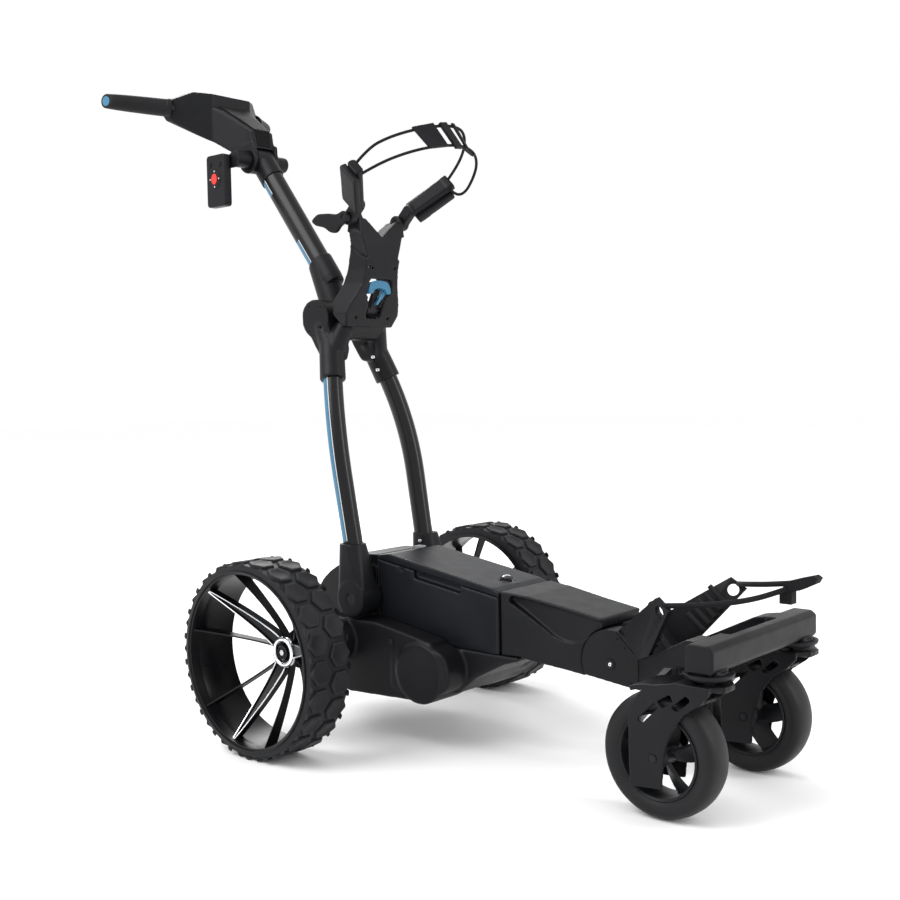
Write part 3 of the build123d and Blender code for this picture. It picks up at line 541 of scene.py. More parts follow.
def tread_block(centre_u, centre_v, radius):
    """One raised hexagon of the tread, in the unrolled (u, v) plane, wrapped round the tyre."""
    corners = [math.radians(90 + 60 * k) for k in range(6)]
    hexagon = [(radius * math.cos(a), radius * math.sin(a)) for a in corners]
    outline = clip([(centre_u + u, centre_v + v) for u, v in hexagon], TREAD_HALF)
    if len(outline) < 3:
        return [], []
    levels = [(outline, TREAD_BASE - 1.0), (inset(outline, 0.8), 158.9), (inset(outline, 2.2), TREAD_TOP)]
    levels += [(inset(outline, 5.2), TREAD_TOP), (inset(outline, 6.8), 159.2)]
    verts = []
    n = len(outline)
    for ring, r in levels:
        for u, v in ring:
            a = u / REAR_R
            verts.append((r * math.cos(a), REAR_Y + v, REAR_R + r * math.sin(a)))
    steps = len(levels) - 1
    faces = ring_faces(n, steps) + [tuple(range(steps * n, (steps + 1) * n))]
    return verts, faces


def rear_tyre(name, sign):
    """A tyre with four rows of raised hexagons."""
    profile = [(139.5, 243.2), (150, 243.2), (154.5, 245), (TREAD_BASE, 249), (TREAD_BASE, 321), (154.5, 325)]
    profile += [(150, 326.8), (139.5, 326.8)]
    parts = [turned(profile, 0, REAR_R, 176)]
    pitch = 2 * math.pi * REAR_R / TREAD_ROWS
    radius = (pitch - TREAD_GAP) / math.sqrt(3)
    step = pitch * math.sqrt(3) / 2
    for column in (-1.5, -0.5, 0.5, 1.5):
        shift = 0.5 * (int(column + 1.5) % 2)
        for row in range(TREAD_ROWS):
            parts.append(tread_block((row + shift) * pitch, column * step, radius))
    verts, faces = join(*[p for p in parts if p[0]])
    build(f"tyre_{name}", sided(verts, sign), faces, f"rear_wheel_{name}", "rear_tyre",
          nodes=[f"rear_tyre_{name}"], sharp=24)


def wheel_point(angle, r, s, y):
    """A point r out along a spoke and s beside it."""
    c, d = math.cos(math.radians(angle)), math.sin(math.radians(angle))
    return (r * c - s * d, y, REAR_R + r * d + s * c)


def spoke_edge(t):
    """Radius, half width and y of a leaf spoke's edge, from the hub (0) to the rim (1)."""
    r = 23.5 + (141.5 - 23.5) * t
    w = 0.9 + 10.6 * (1 - t) ** 0.75
    y = 246.5 + (321.0 - 246.5) * t ** 1.2
    return r, w, y


def rear_spoke(angle):
    """Black infill and bright edges of one spoke."""
    steps = 15
    grid = []
    for k in range(steps + 1):
        r, w, y = spoke_edge(k / steps)
        for s, dy in ((-w, 0), (-w + 0.9, -3.2), (w - 0.9, -3.2), (w, 0), (w, -16), (-w, -16)):
            grid.append(wheel_point(angle, r, s, y + dy))
    web_faces = ring_faces(6, steps) + [tuple(range(6)), tuple(6 * steps + i for i in range(6))]
    edges = []
    for side in (-1, 1):
        line = []
        for k in range(steps + 1):
            r, w, y = spoke_edge(k / steps)
            line.append((r, side * w, y))

        def section(i, p, line=line):
            r, s, y = p
            ring = [(1.1, -0.5), (1.1, 0.7), (0.5, 1.3), (-0.5, 1.3), (-1.1, 0.7), (-1.1, -0.5)]
            return [wheel_point(angle, r, s + a, y + b) for a, b in ring]

        edges.append(bar(line, section))
    return (grid, web_faces), join(*edges)


def rear_rib(angle):
    """One thin deep rib between the spokes, from the hub out to the rim's outer lip."""
    steps = 10
    verts = []
    for k in range(steps + 1):
        t = k / steps
        r = 15 + (142.2 - 15) * t
        outer = 236 + (325 - 236) * t ** 1.35
        inner = 222 + (300 - 222) * t ** 1.2
        half = 2.4 - 0.9 * t
        for s, y in ((-half, inner), (half, inner), (half * 0.7, outer), (-half * 0.7, outer)):
            verts.append(wheel_point(angle, r, s, y))
    return verts, closed_faces(4, steps)


def rear_rim(name, sign):
    """Barrel, hub, three leaf spokes with bright edges and six thin ribs."""
    barrel = [(137, 240.6), (143.5, 240.6), (144, 243), (139.4, 243.2), (139.4, 326.8), (143.4, 327.2)]
    barrel += [(145.8, 328.4), (145.4, 329.8), (144, 330), (142.6, 329.2), (141.2, 326), (138.4, 300)]
    body = [turned(barrel, 0, REAR_R, 144)]
    hub = [(8.05, 217), (15, 217), (17, 222), (18, 232), (24, 236), (25.5, 239), (25.5, 242)]
    hub += [(16.8, 242), (12.35, 239), (12.35, 230), (8.05, 230)]
    body.append(turned(hub, 0, REAR_R, 64))
    bright = []
    for angle in SPOKE_ANGLES:
        web, edge = rear_spoke(angle)
        body.append(web)
        bright.append(edge)
        for turn in (-RIB_TURN, RIB_TURN):
            body.append(rear_rib(angle + turn))
    verts, faces = join(*body)
    build(f"rim_{name}", sided(verts, sign), faces, f"rear_wheel_{name}", "rear_rim",
          nodes=[f"rear_rim_{name}"], sharp=30)
    ring = [(16.8, 241.5), (17.2, 246), (19, 248), (21.5, 248.4), (24.2, 247.6), (25.8, 245.4), (25.8, 241.5)]
    bright.append(turned(ring, 0, REAR_R, 64))
    verts, faces = join(*bright)
    build(f"rim_trim_{name}", sided(verts, sign), faces, f"rear_wheel_{name}", "chrome", sharp=40)


def hub_button(name, sign):
    """The quick-release cap in the hub, with its nut."""
    cap = [(0.01, 235), (12, 235), (12, 247), (11, 248.2), (9, 248.2), (8.2, 246.6), (6.5, 246.2), (0.01, 246.2)]
    verts, faces = turned(cap, 0, REAR_R, 48)
    build(f"release_cap_{name}", sided(verts, sign), faces, f"hub_button_{name}_body", "rear_rim",
          nodes=[f"hub_button_{name}"], sharp=30)
    hexagon = [(NUT_R * math.cos(a), REAR_R + NUT_R * math.sin(a)) for a in circle(6)]
    nut = slab(hexagon, *sorted((sign * 246, sign * 249)))
    build(f"release_nut_{name}", *nut, f"hub_button_{name}_body", "steel", slot="steel", bevel=0.5)


# ---------------------------------------------------------------- front wheels
FRONT_X, FRONT_Y, FRONT_Z = 653.0, 128.7, 88.6
SWIVEL_X = 720


def front_wheel(name, sign):
    """A plain caster tyre on a rim with five twisted spokes."""
    half = [(61, -21), (66, -24.5), (72, -26.4), (78, -26.2), (82.5, -24), (85.6, -19.6), (87.4, -13.5), (88.4, -6.5)]
    profile = half + [(88.6, 0)] + [(r, -v) for r, v in reversed(half)] + [(59, 20), (59, -20)]
    profile = [(r, FRONT_Y + v) for r, v in profile]
    verts, faces = turned(profile, FRONT_X, FRONT_Z, 112, sign)
    build(f"tyre_front_{name}", verts, faces, f"front_wheel_{name}", "front_tyre",
          nodes=[f"front_tyre_{name}"], sharp=50)
    rim = [(61.5, -23.2), (60, -24.2), (57.5, -22), (55.5, -8), (55.5, 8), (57.5, 22), (60, 24.2), (61.5, 23.2)]
    parts = [turned([(r, FRONT_Y + v) for r, v in rim], FRONT_X, FRONT_Z, 96)]
    hub = [(6.05, -24), (13, -24), (16, -20), (16, 20), (13, 24), (6.05, 24)]
    parts.append(turned([(r, FRONT_Y + v) for r, v in hub], FRONT_X, FRONT_Z, 48))
    for k in range(5):
        verts = []
        steps = 6
        for i in range(steps + 1):
            t = i / steps
            r = 13 + 44 * t
            lean = math.radians(52 - 22 * t)
            for a, b in ((-15, -3), (15, -3), (15, 3), (-15, 3)):
                s = a * math.cos(lean) - b * math.sin(lean)
                v = a * math.sin(lean) + b * math.cos(lean)
                turn = math.radians(72 * k) + 0.25 * t
                c, d = math.cos(turn), math.sin(turn)
                verts.append((FRONT_X + r * c - s * d, FRONT_Y + v, FRONT_Z + r * d + s * c))
        ends = [(0, 1, 2, 3), (4 * steps + 3, 4 * steps + 2, 4 * steps + 1, 4 * steps)]
        faces = ring_faces(4, steps) + ends
        parts.append((verts, faces))
    verts, faces = join(*parts)
    build(f"rim_front_{name}", sided(verts, sign), faces, f"front_wheel_{name}", "front_rim",
          nodes=[f"front_rim_{name}"], sharp=30)


# ---------------------------------------------------------------- elastic straps
STRAP_D, LOWER_STRAP_D = 5.0, 8.0
UPPER_A = [(52, -108, 962), (76, -97, 990), (98, -70, 1008), (122, -37, 1021), (140, -4, 1029)]
UPPER_A += [(151, 30, 1033), (148, 63, 1029), (130, 88, 1009), (98, 105, 982), (67, 113, 962)]
UPPER_B = [(74, -110, 947), (94, -92, 962), (119, -62, 978), (142, -31, 989), (156, 3, 996)]
UPPER_B += [(165, 38, 999), (164, 72, 992), (149, 97, 976), (129, 108, 954), (107, 112, 933)]
UPPER_B += [(84, 113, 932), (70, 113, 946)]
LOWER_A = [(640, -109, 287), (668, -101, 289), (700, -81, 291), (727, -56, 294), (752, -31, 300), (772, -8, 309)]
LOWER_B = [(639, 109, 287), (664, 67, 295), (697, 38, 302), (735, 21, 308), (772, 8, 315)]


def route(name, points):
    """A curve with one smooth spline that has these control points."""
    curve = bpy.data.curves.new(name, "CURVE")
    curve.dimensions = "3D"
    spline = curve.splines.new("NURBS")
    spline.points.add(len(points) - 1)
    for point, (x, y, z) in zip(spline.points, points):
        point.co = (x * MM, y * MM, z * MM, 1)
    spline.order_u = 3
    spline.use_endpoint_u = True
    return curve, spline


def cord(name, points, d, body, node):
    """One elastic strap, as a round curve in its woven sleeve."""
    curve, _ = route(name, points)
    curve.resolution_u = 10
    curve.bevel_depth = d / 2 * MM
    curve.bevel_resolution = 4
    piece = linked(name, curve)
    piece.data.materials.append(MAT["cord"])
    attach(piece, body)
    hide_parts(node)
    return piece


def make_straps():
    """The two upper and two lower straps, as round cords."""
    for name, points, d, body, node in (
        ("upper_strap_top", UPPER_A, STRAP_D, "bag_cradle", "upper_strap"),
        ("upper_strap_low", UPPER_B, STRAP_D, "bag_cradle", "upper_strap"),
        ("lower_strap_right", LOWER_A, LOWER_STRAP_D, "front_frame", "lower_strap"),
        ("lower_strap_left", LOWER_B, LOWER_STRAP_D, "front_frame", "lower_strap"),
    ):
        piece = cord(name, points, d, body, node)
        length = route("measure", points)[1].calc_length(resolution=32)


# ---------------------------------------------------------------- moulded bodies
LEVER_X, LEVER_Z = -26.0, 730.0
ELBOW_X, ELBOW_Z = -98.0, 716.0
KNUCKLE_X, KNUCKLE_Z, KNUCKLE_FACE = 517, 178, 58
LATCH_X = 276


def make_bracket():
    """The Y-shaped bag bracket with its slot, leaf recesses, cut heel and screw holes, and the release lever."""
    top_slot = rounded([(-29, 752), (29, 752), (29, 783), (-29, 783)], 11)
    low_slot = rounded([(-17, 715), (20, 715), (20, 758), (-17, 758)], 9)
    cuts = [front_slab(top_slot, -45, 40), front_slab(low_slot, -45, 40)]
    leaf = [(-34, 853), (-18, 866), (2, 866), (20, 850), (25, 834), (22, 815), (4, 820), (-20, 834)]
    leaf = rounded(leaf, 14, 4)
    verts, faces = slab(leaf, 36, 70)
    verts = [(x, y if y > 60 else 38 + max(0.0, z - 822) * 0.33, z) for x, y, z in verts]
    cuts += [(verts, faces), flip((verts, faces))]
    heel = [(-90, 690), (-90, 756), (-62, 750), (-52, 722), (-41, 706), (-34, 690)]
    cuts.append(slab(heel, -80, -36))
    cuts.append(slab(heel, 36, 80))
    for y, z in ((-24, 801), (31, 803), (-40, 716), (40, 716), (-31, 803)):
        cuts.append(rod((-2 if z > 750 else -30, y, z), (30, y, z), 2.6, 12))
    moulded("bracket_shell", [node_mesh("bag_bracket")], "legs", "shell", ["bag_bracket"], cuts=cuts, voxel=1.5,
            rounds=9)
    arch = [(-27, 757), (-27, 768), (-20, 779), (0, 781.5), (20, 779), (27, 768), (27, 757)]
    arch += [(17, 757), (14, 764), (0, 768), (-14, 764), (-17, 757)]
    parts = [front_slab(rounded(arch, 5, 3), -11, 2)]
    base = [rod((LEVER_X, -29, LEVER_Z), (LEVER_X, 29, LEVER_Z), 4)]
    stem = [(16, 764), (25, 760), (0, 737), (-3, 739)]
    parts.append(front_slab(rounded(stem, 1.5, 3), -13, -6))
    base.append(rod((LEVER_X, -11, LEVER_Z), (LEVER_X, 11, LEVER_Z), 7))
    base.append(slab([(-32, 730), (-20, 726), (-12, 758), (-17, 762)], -4, 8))
    moulded("lever_base", base, "release_lever_body", "inner", slot="shell", voxel=0.9, rounds=3)
    moulded("lever_arch", parts, "release_lever_body", "blue", ["release_lever"], voxel=0.9, rounds=5)


def make_elbow():
    """Sleeves for the legs that flow into two round cheeks, joined by a barrel under the bracket."""
    cheek = [(-134, 722), (-131, 736), (-118, 748), (-98, 752), (-78, 744), (-70, 726), (-62, 690)]
    cheek += [(-44, 664), (-52, 640), (-82, 640), (-102, 668), (-116, 690), (-128, 706)]
    parts = []
    for sign in (-1, 1):
        parts.append(slab(rounded(cheek, 8, 3), *sorted((sign * 32, sign * 64.5))))
        parts.append(rod((ELBOW_X, sign * 30.4, ELBOW_Z), (ELBOW_X, sign * 66, ELBOW_Z), 34, 48))
        parts.append(rod((-51, sign * 69.9, 606.8), (-74, sign * 49.7, 676), 23, 40, 22))
        parts.append(rod((-66, sign * 56, 650), (-47, sign * 40, 703), 20.5, 32, 16))
        parts.append(rod((-70, sign * 54, 660), (-92, sign * 50, 706), 20, 28, 18))
    parts.append(rod((-50, -46, 689), (-50, 46, 689), 12.5, 32))
    parts.append(slab([(-60, 688), (-36, 688), (-28, 701), (-62, 701)], -42, 42))
    cuts = [rod((ELBOW_X, -29.6, ELBOW_Z), (ELBOW_X, 29.6, ELBOW_Z), 46, 48)]
    for side in (-1, 1):
        for x, z in ((-84, 736), (-84, 700), (-112, 738), (-112, 694)):
            cuts.append(rod((x, side * 62, z), (x, side * 70, z), 2.4, 12))
    moulded("elbow_shell", parts, "legs", "shell", ["elbow_housing"], cuts=cuts, voxel=1.5, rounds=9)
    for k, (x, y, z) in enumerate(((-51.5, 31.8, 647.5), (-49.2, 40.8, 624))):
        screw(f"elbow_screw_{k}", (x, y, z), (0.62, -0.77, 0.1), 3.4, "legs")
    screw("boot_screw", (21.1, 69.35, 310.9), (0.55, -0.83, 0.05), 3.2, "legs")


def make_transaxle():
    """The lower shell with a bulged motor pod on each side."""
    parts = [node_mesh("transaxle_housing")]
    for sign in (-1, 1):
        bulge = [(118, 92), (206, 88), (240, 104), (247, 132), (236, 160), (206, 173), (160, 172), (120, 160)]
        parts.append(slab(rounded(bulge, 14, 4), *sorted((sign * 68, sign * 113))))
    moulded("lower_shell", parts, "chassis", "shell", ["transaxle_housing"], voxel=2.2, rounds=12)


def make_neck():
    """The neck with a scooped relief in each side."""
    scoop = [(330, 253), (352, 242), (384, 224), (414, 206), (430, 201), (448, 200), (470, 207), (496, 229)]
    scoop += [(508, 244), (500, 238.5), (442, 247), (365, 259), (335, 262)]
    scoop = rounded(scoop, 10, 4)
    cuts = []
    for sign in (-1, 1):
        cuts.append(slab(scoop, *sorted((sign * 51.5, sign * 80))))
    moulded("neck_shell", [node_mesh("spine")], "chassis", "shell", ["spine"], cuts=cuts, voxel=1.6, rounds=16)


def make_front_arm():
    """The front frame with seam lines, screw holes and a ringed pivot screw on each cheek."""
    lines = []
    for sign in (-1, 1):
        across = sorted((sign * 57, sign * 62))
        lines.append(slab([(567, 140), (568.6, 140), (568.6, 192), (567, 192)], *across))
        lines.append(slab([(567, 191), (568.4, 192), (528.4, 228.6), (527, 227.4)], *across))
        for x, z in ((531, 218), (544, 206), (554, 155)):
            lines.append(rod((x, across[0], z), (x, across[1], z), 1.7, 10))
    moulded("front_arm_shell", [node_mesh("front_arm")], "front_frame", "shell", ["front_arm"], grooves=lines,
            voxel=1.6, rounds=6)
    for sign in (-1, 1):
        face = sign * KNUCKLE_FACE
        screw(f"knuckle_screw_{sign_name(sign)}", (KNUCKLE_X, face + sign * 0.6, KNUCKLE_Z), (0, sign, 0), 3.2,
              "front_frame")
        profile = [(4.2, face), (6.6, face), (6.6, face + 0.8 * sign), (4.2, face + 0.8 * sign)]
        ring = turned(profile, KNUCKLE_X, KNUCKLE_Z, 32)
        build(f"knuckle_ring_{sign_name(sign)}", *ring, "front_frame", "inner", slot="shell", sharp=30)


def make_crossbar():
    """The crossbar, with a collar under it at each swivel."""
    moulded("crossbar_shell", [node_mesh("crossbar")], "front_frame", "shell", ["crossbar"], voxel=1.5, rounds=9)
    for sign in (-1, 1):
        collar = upright(33, 35, 204.6, 210.6, SWIVEL_X, sign * FRONT_Y)
        build(f"swivel_collar_{sign_name(sign)}", *collar, "front_frame", "shell", bevel=1.6, sharp=30)


def make_fork(side, sign):
    """A caster fork: broad blade, slanted shoulder with three windows, pointed nose."""
    middle = sign * FRONT_Y
    filler = [(628, 150), (706, 158), (706, 188), (640, 186)]
    parts = [node_mesh(f"caster_fork_{side}")]
    parts += [slab(filler, middle + a, middle + b) for a, b in ((-33, -29.5), (29.5, 33))]
    parts.append(upright(33, 33, 190, 197, SWIVEL_X, middle))
    windows = [[(629, 139), (636, 134), (662, 160), (655, 165)], [(660, 168), (668, 160), (684, 170), (680, 180)]]
    windows.append([(682, 163), (690, 158), (711, 176), (704, 182)])
    cuts = []
    for window in windows:
        for a, b in ((-36, -26), (26, 36)):
            cuts.append(slab(rounded(window, 2.5, 3), middle + a, middle + b))
    cuts.append(upright(8.4, 8.4, 186, 200, SWIVEL_X, middle, 32))
    moulded(f"fork_{side}", parts, f"caster_{side}", "shell", [f"caster_fork_{side}"], cuts=cuts, voxel=1.25,
            rounds=4)

    def across(a, b, r, segments):
        """A rod on the wheel's axis, from a to b beside the fork's middle."""
        return rod((FRONT_X, middle + a, FRONT_Z), (FRONT_X, middle + b, FRONT_Z), r, segments)

    axle = [across(-33.2, 33.2, 6, 24), across(-33, -34.2, 5, 6), across(33, 34.2, 5, 6)]
    build(f"axle_{side}", *join(*axle), f"caster_{side}", "inner", slot="steel", nodes=[f"front_axle_{side}"], sharp=30)


# ---------------------------------------------------------------- battery details
def make_battery():
    """Case and lid as two soft-edged mouldings, finger slots, latch arc and the rear tab."""
    old_seat = upright(9.3, 9.3, 255, 271.5, 291, 0, 32)  # fills the CAD's latch hole, 15 mm further forward
    parts = [node_mesh("battery_lid"), old_seat]
    cuts = [upright(9.6, 9.6, 262, 300, LATCH_X, 0, 32), upright(2.6, 2.6, 268, 300, LATCH_X, -15, 16)]
    cuts.append(upright(2.6, 2.6, 268, 300, LATCH_X, 15, 16))
    moulded("lid_shell", parts, "battery", "battery", ["battery_lid"], cuts=cuts, voxel=1.6, rounds=8)
    slot_line = rounded([(129, 287), (141, 290), (236, 275.5), (232, 265), (137, 272)], 5, 4)
    case_cuts = []
    for sign in (-1, 1):
        case_cuts.append(slab(slot_line, *sorted((sign * 58, sign * 75))))
        dent = rounded([(96, 288), (110, 286), (110, 280), (96, 282)], 2, 3)
        case_cuts.append(slab(dent, *sorted((sign * 66, sign * 75))))
    moulded("case_shell", [node_mesh("battery_case")], "battery", "battery", ["battery_case"], cuts=case_cuts,
            voxel=1.8, rounds=9)
    button = upright(8.4, 8.4, 270, 277, LATCH_X, 0, 32)
    build("latch_button", *button, "battery_latch_body", "inner", slot="shell", nodes=["battery_latch"], bevel=0.8,
          sharp=30)
    arc = []
    for k in range(13):
        a = math.radians(20 + 140 * k / 12)
        arc.append((LATCH_X + 1.5 - 5.5 * math.sin(a) * 0.4, 9.5 * math.cos(a), 277.2 + 3.2 * math.sin(a)))
    build("latch_handle", *bar(arc, ring_section(arc, 1.5)), "battery_latch_body", "chrome", sharp=60)
    tab = plan_slab(rounded([(47, 26), (63, 26), (63, 41), (47, 41)], 3, 3), 303, 309.5)
    build("rear_tab", *tab, "battery", "tab", slot="shell", bevel=1.6, segments=3, sharp=30)


# ---------------------------------------------------------------- tubes and stripes
LEG_R = 17
MAST_RADII = (18, 22.5)  # across y and in the XZ plane
MAST_LOW, MAST_HIGH = Vector((-126, 0, 790.8)), Vector((-298, 0, 1017))
MAST_WAY = (MAST_HIGH - MAST_LOW).normalized()
STRIPE_LIFT = 0.15


def tube_strip(name, centres, ways, radii, angles, body, mat):
    """A thin strip on a tube, a printed transfer or a painted highlight line: radii (across y, in plane), angles in
    degrees from +Y.
    """
    verts, faces = [], []
    n = 7
    for c, way in zip(centres, ways):
        c, way = Vector(c), Vector(way).normalized()
        inplane = way.cross(Vector((0, 1, 0))).normalized()
        across = inplane.cross(way).normalized()
        for k in range(n):
            a = math.radians(angles[0] + (angles[1] - angles[0]) * k / (n - 1))
            e, f = across * math.cos(a), inplane * math.sin(a)
            out = (e / radii[0] + f / radii[1]).normalized()
            verts.append(tuple(c + e * radii[0] + f * radii[1] + out * STRIPE_LIFT))
    for i in range(len(centres) - 1):
        for k in range(n - 1):
            a = i * n + k
            faces.append((a, a + 1, a + n + 1, a + n))
    build(name, verts, faces, body, mat, slot="tube")


def leg_line(sign, steps=14):
    """Points and directions along the bent leg: two straights joined by an arc."""
    bend_r = 600
    foot, bend, head = Vector((22, 89.1, 262)), Vector((-24, 93.5, 525)), Vector((-70, 53.3, 665))
    d1, d2 = (bend - foot).normalized(), (head - bend).normalized()
    angle = d1.angle(d2)
    reach = bend_r * math.tan(angle / 2)
    start = bend - d1 * reach
    inward = (d2 - d1 * d1.dot(d2)).normalized()
    points, ways = [], []
    for k in range(5):
        points.append(foot.lerp(start, k / 5))
        ways.append(d1)
    for k in range(steps + 1):
        a = angle * k / steps
        points.append(start + d1 * (bend_r * math.sin(a)) + inward * (bend_r * (1 - math.cos(a))))
        ways.append(d1 * math.cos(a) + inward * math.sin(a))
    end = points[-1]
    for k in range(1, 4):
        points.append(end.lerp(head, k / 3))
        ways.append(d2)
    return sided(points, sign), sided(ways, sign)


def make_tubes():
    """The bent legs and the oval mast as smooth round-walled tubes."""
    for side, sign in sides():
        points, ways = leg_line(sign, 24)

        def ring(i, p, ways=ways):
            way = Vector(ways[i])
            e = Vector((0, 1, 0)).cross(way).normalized()
            f = way.cross(e)
            return [tuple(p + e * (LEG_R * math.cos(a)) + f * (LEG_R * math.sin(a))) for a in circle(40)]

        build(f"leg_tube_{side}", *bar(points, ring), "legs", "tube", nodes=[f"leg_{side}"], sharp=50)
    flat = MAST_WAY.cross(Vector((0, 1, 0))).normalized()

    def oval(i, p, grow=0):
        across, deep = (r + grow for r in MAST_RADII)
        return [tuple(p + Vector((0, across * math.cos(a), 0)) + flat * (deep * math.sin(a))) for a in circle(56)]

    sleeve = [v for t, grow in ((-14, 2.0), (0, 3.2), (40, 3.2), (44, 2.4))
              for v in oval(0, MAST_LOW + MAST_WAY * t, grow)]
    moulded("mast_foot_shell", [node_mesh("mast_foot"), (sleeve, closed_faces(56, 3))], "mast", "shell",
            ["mast_foot"], voxel=1.3, rounds=4)
    line = [MAST_LOW, MAST_LOW.lerp(MAST_HIGH, 0.5), MAST_HIGH]
    build("mast_bar", *bar(line, oval), "mast", "tube", nodes=["mast_tube"], sharp=50)


def make_stripes():
    """Blue stripes on the outer sides of the legs and the mast, each with a painted highlight beside it: a light grey
    line standing in for light caught along a groove.
    """
    for side, sign in sides():
        points, ways = leg_line(sign)
        keep = [i for i, p in enumerate(points) if 318 < p[2] < 622]
        points, ways = [points[i] for i in keep], [ways[i] for i in keep]
        # a, b: angles of the blue stripe; c, d: angles of the painted highlight line beside it.
        a, b, c, d = (143, 186, 189, 195) if sign < 0 else (37, -6, -9, -15)
        tube_strip(f"leg_stripe_{side}", points, ways, (LEG_R, LEG_R), (a, b), "legs", "blue")
        # Painted highlight: a light grey line standing in for light caught along a groove of the leg.
        tube_strip(f"leg_line_{side}", points, ways, (LEG_R, LEG_R), (c, d), "legs", "dot")
    for sign in (-1, 1):
        for name, t0, t1 in (("low", 36, 100), ("top", 216, 262)):
            points = [MAST_LOW + MAST_WAY * (t0 + (t1 - t0) * k / 4) for k in range(5)]
            ways, side = [MAST_WAY] * 5, sign_name(sign)
            # a, b: angles of the blue stripe; c, d: angles of the painted highlight line beside it.
            a, b, c, d = (134, 163, 166, 171) if sign < 0 else (46, 17, 14, 9)
            tube_strip(f"mast_stripe_{name}_{side}", points, ways, MAST_RADII, (a, b), "mast", "blue")
            # Painted highlight: a light grey line standing in for light caught along a groove of the mast.
            tube_strip(f"mast_line_{name}_{side}", points, ways, MAST_RADII, (c, d), "mast", "dot")


# ---------------------------------------------------------------- handle and remote
def make_grips():
    """Tapered grips that run into collars on the console, each with a coloured end disc."""
    parts = []
    inner_bar = []
    sides_n = 40
    flat_end = 197.2  # y of the flat end

    def cut_end(verts, way):
        """Points past the flat end brought back to it along the grip."""
        out = []
        for v in verts:
            v = Vector(v)
            out.append(tuple(v + way * ((flat_end - abs(v.y)) / abs(way.y))))
        return out

    for sign in (-1, 1):
        root, end = Vector((-453, sign * 103, 1137)), Vector((-530.5, sign * 200.7, 1148.6))
        way = (end - root).normalized()
        line = [root + way * t for t in (2, 14, 40, 80, 102, 108, 118)]
        radii = [17.0, 16.6, 16.4, 15.6, 14.8, 14.4, 13.6]
        verts, faces = bar(line, ring_section(line, lambda i: radii[i], sides_n))
        verts[-sides_n:] = cut_end(verts[-sides_n:], way)
        parts.append((verts, faces))
        inner_bar += [tuple(root + way * 98), tuple(root)][::-sign]
        collar = [root + way * t for t in (-3, 7)]
        build(f"grip_collar_{sign_name(sign)}", *bar(collar, ring_section(collar, 18.2, sides_n)),
              "handle", "shell", bevel=2.0, sharp=30)
        cap = [root + way * t for t in (108, 118)]
        verts, faces = bar(cap, ring_section(cap, 9.2, sides_n))
        ends = cut_end(verts, way)
        verts = [(x, y + sign * (-1.0 if k < sides_n else 0.7), z) for k, (x, y, z) in enumerate(ends)]
        build(f"grip_end_{sign_name(sign)}", verts, faces, "handle", "blue", slot="grip", bevel=0.4, sharp=30)
    build("inner_bar", *bar(inner_bar, ring_section(inner_bar, 10.5, 24)), "handle", "tube", nodes=["handle_bar"],
          sharp=50)
    build("grips", *join(*parts), "handle", "grip", nodes=["handle_grips"], bevel=1.2, sharp=30)


def make_remote():
    """Keys, oval pad and dots on the remote's face."""
    face = -82.6
    x0, z0 = -349.5, 991.3

    def oval(name, x, z, rx, rz, y0, y1, mat, slot="shell", owner="remote", nodes=()):
        ring = [(x + rx * math.cos(a), z + rz * math.sin(a)) for a in circle(40)]
        build(name, *slab(ring, y0, y1), owner, mat, slot=slot, nodes=nodes, bevel=0.3, sharp=40)

    oval("remote_pad", x0, z0, 16.5, 18.5, face - 0.7, face + 2, "rear_rim")
    oval("remote_red", x0, z0, 8.0, 10.0, face - 2.0, face + 2.2, "red", "red", "remote_button_body",
         ["remote_button"])
    for k, (dx, dz) in enumerate(((0, 14.5), (0, -14.5), (12.8, 0), (-12.8, 0))):
        oval(f"remote_dot_{k}", x0 + dx, z0 + dz, 1.6, 1.6, face - 1.0, face, "dot")
    for k, (x, z) in enumerate(((-363.2, 1018.8), (-335.6, 1018.0))):
        oval(f"remote_key_{k}", x, z, 4.4, 5.2, face - 1.3, face + 1, "rear_rim")


def make_buckles():
    """Slider, keeper bar and open frame on the upper straps."""
    parts = []

    def plate(a, b, c, d, t):
        """Add a flat four-cornered plate, t thick."""
        a, b, c, d = (Vector(v) for v in (a, b, c, d))
        out = (b - a).cross(d - a).normalized() * t
        pts = [a, b, c, d, a + out, b + out, c + out, d + out]
        faces = [(0, 1, 2, 3), (7, 6, 5, 4), (0, 4, 5, 1), (1, 5, 6, 2), (2, 6, 7, 3), (3, 7, 4, 0)]
        parts.append(([tuple(v) for v in pts], faces))

    def on(points, t):
        """A point a share t of the way along a strap."""
        pts = [Vector(p) for p in points]
        spans = [(q - p).length for p, q in zip(pts, pts[1:])]
        want = t * sum(spans)
        for p, q, span in zip(pts, pts[1:], spans):
            if want <= span:
                return p.lerp(q, want / span)
            want -= span
        return pts[-1]

    top = [on(UPPER_A, t) for t in (0.345, 0.455, 0.485, 0.525, 0.555, 0.575)]
    low = [on(UPPER_B[:8], t) for t in (0.47, 0.61, 0.655, 0.71, 0.755, 0.785)]
    lift = [(b - a).normalized() * 4 for a, b in zip(low, top)]
    for i, j, t, more in ((0, 1, 5.0, 0), (2, 3, 6.5, 1), (4, 5, 4.0, 0)):
        corners = [low[k] - lift[k] - lift[k] * more for k in (i, j)] + [top[k] + lift[k] for k in (j, i)]
        plate(*corners, t)
    p, q = on(UPPER_B, 0.62), on(UPPER_A, 0.72)
    plate(p + Vector((-5, 0, -6)), p + Vector((5, 0, -6)), q + Vector((5, 0, -14)), q + Vector((-5, 0, -14)), 5)
    moulded("buckles", parts, "bag_cradle", "shell", ["strap_buckles"], voxel=0.9, rounds=3)


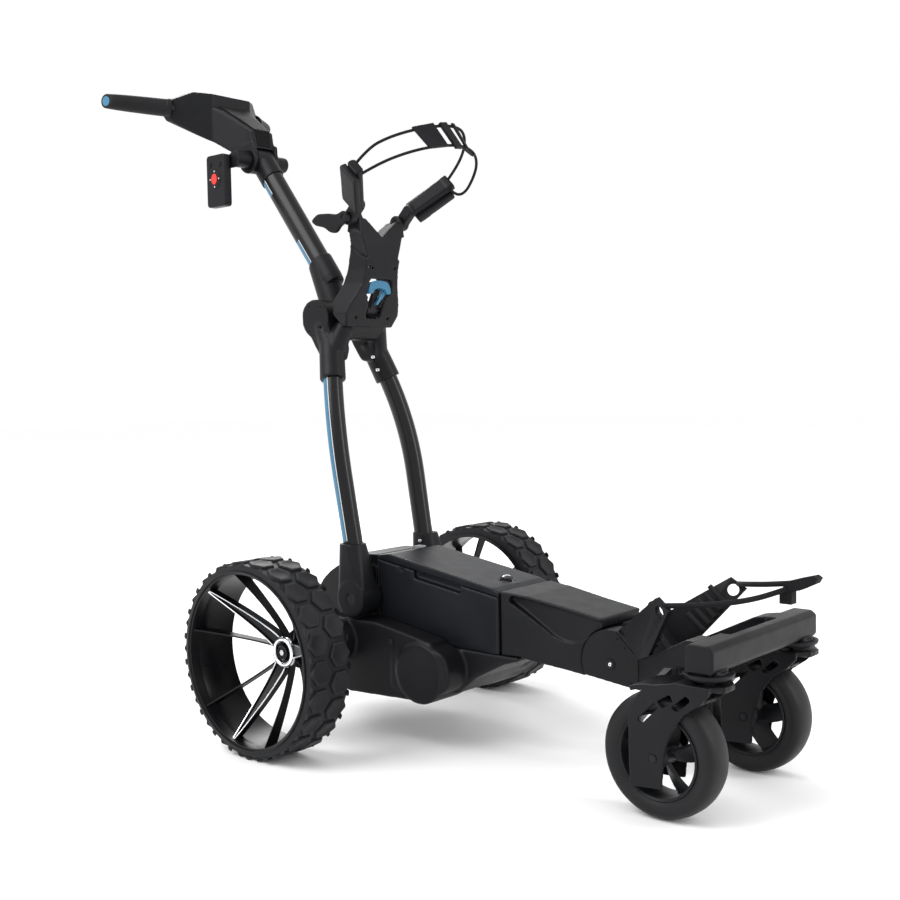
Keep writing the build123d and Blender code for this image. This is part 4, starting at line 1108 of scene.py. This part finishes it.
def make_console():
    """The console with a soft lower edge, and its long front panel."""
    rear = [(-500, 1096), (-500, 1134), (-474, 1134), (-464, 1114), (-460, 1096)]
    moulded("console_shell", [node_mesh("console_housing")], "handle", "shell", ["console_housing"],
            cuts=[slab(rear, -130, 130)], voxel=1.7, rounds=7)
    rows = [(-391, 37, 1141.5), (-380, 34, 1134.8), (-343, 26, 1110.8), (-306.4, 19, 1086.6), (-300.5, 16, 1056)]
    verts = []
    for x, w, z in rows:
        for y, up in ((-w, 0.2), (-w + 1.5, 1.6), (w - 1.5, 1.6), (w, 0.2), (w, -2), (-w, -2)):
            verts.append((x + up * 0.5, y, z + up * 0.8))
    build("front_panel", verts, closed_faces(6, len(rows) - 1), "handle", "panel", nodes=["console_panel"], bevel=0.5,
          sharp=25)


def make_clamp_lever():
    """The hooked lever that clamps the cradle's fold, on the right arm's pin."""
    blade = [(-86, 886), (-70, 897), (-44, 896), (-20, 892), (-4, 898), (8, 888), (2, 876), (-12, 872), (-24, 860)]
    blade += [(-38, 862), (-52, 872), (-74, 877)]
    lo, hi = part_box("clamp_lever")
    y0, y1 = lo[1] / MM, hi[1] / MM
    hook = slab(rounded(blade, 6, 4), y0 + 0.5, y0 + 0.5 + (y1 - y0) * 0.8)
    pin_x, pin_z = -4, 886
    eye = rod((pin_x, y0, pin_z), (pin_x, y1, pin_z), 10.5, 28)
    cuts = [rod((pin_x, y0 - 5, pin_z), (pin_x, y1 + 5, pin_z), 4.1, 20)]
    moulded("clamp_hook", [hook, eye], "clamp_lever_body", "shell", ["clamp_lever"], cuts=cuts, voxel=1.1, rounds=6)


# ---------------------------------------------------------------- the whole trolley
SKINS = ("wing_right", "wing_left", "wing_pads", "strap_tab")
SOFTENED = {"rear_cover": (2.0, 10), "leg_boots": (1.6, 10), "mast_head": (1.3, 5), "bag_arms": (1.4, 8),
            "remote_case": (1.3, 5)}  # voxel size in mm and rounds of smoothing
PINS = ("fold_shaft", "knuckle_pin", "pivot_pins", "chassis_screws")

for make in (make_camera, make_straps, make_studio, make_bracket, make_elbow, make_transaxle, make_neck,
             make_front_arm, make_crossbar, make_battery, make_tubes, make_stripes, make_grips, make_remote,
             make_console, make_buckles, make_clamp_lever):
    make()
for side_name, side_sign in sides():
    make_fork(side_name, side_sign)
for side_name, side_sign in sides():
    rear_tyre(side_name, side_sign)
    rear_rim(side_name, side_sign)
    hub_button(side_name, side_sign)
    front_wheel(side_name, side_sign)
for node, obj in NODES.items():
    if obj.hide_render:
        continue
    obj.data.materials.clear()
    obj.data.materials.append(MAT[node_slot(node)])
for node, (fine, rounds) in SOFTENED.items():
    moulded(node + "_shell", [node_mesh(node)], node_body(node), node_slot(node), [node], voxel=fine, rounds=rounds)
moulded("arm_pads_shell", [node_mesh("arm_pads")], "bag_cradle", "pad", ["arm_pads"], voxel=1.4, rounds=12,
        keep=1.0, swell=1.5, sharp=70)
for node in PINS:
    NODES[node].data.materials.clear()
    NODES[node].data.materials.append(MAT["inner"])
for node in SKINS:
    skin(node)
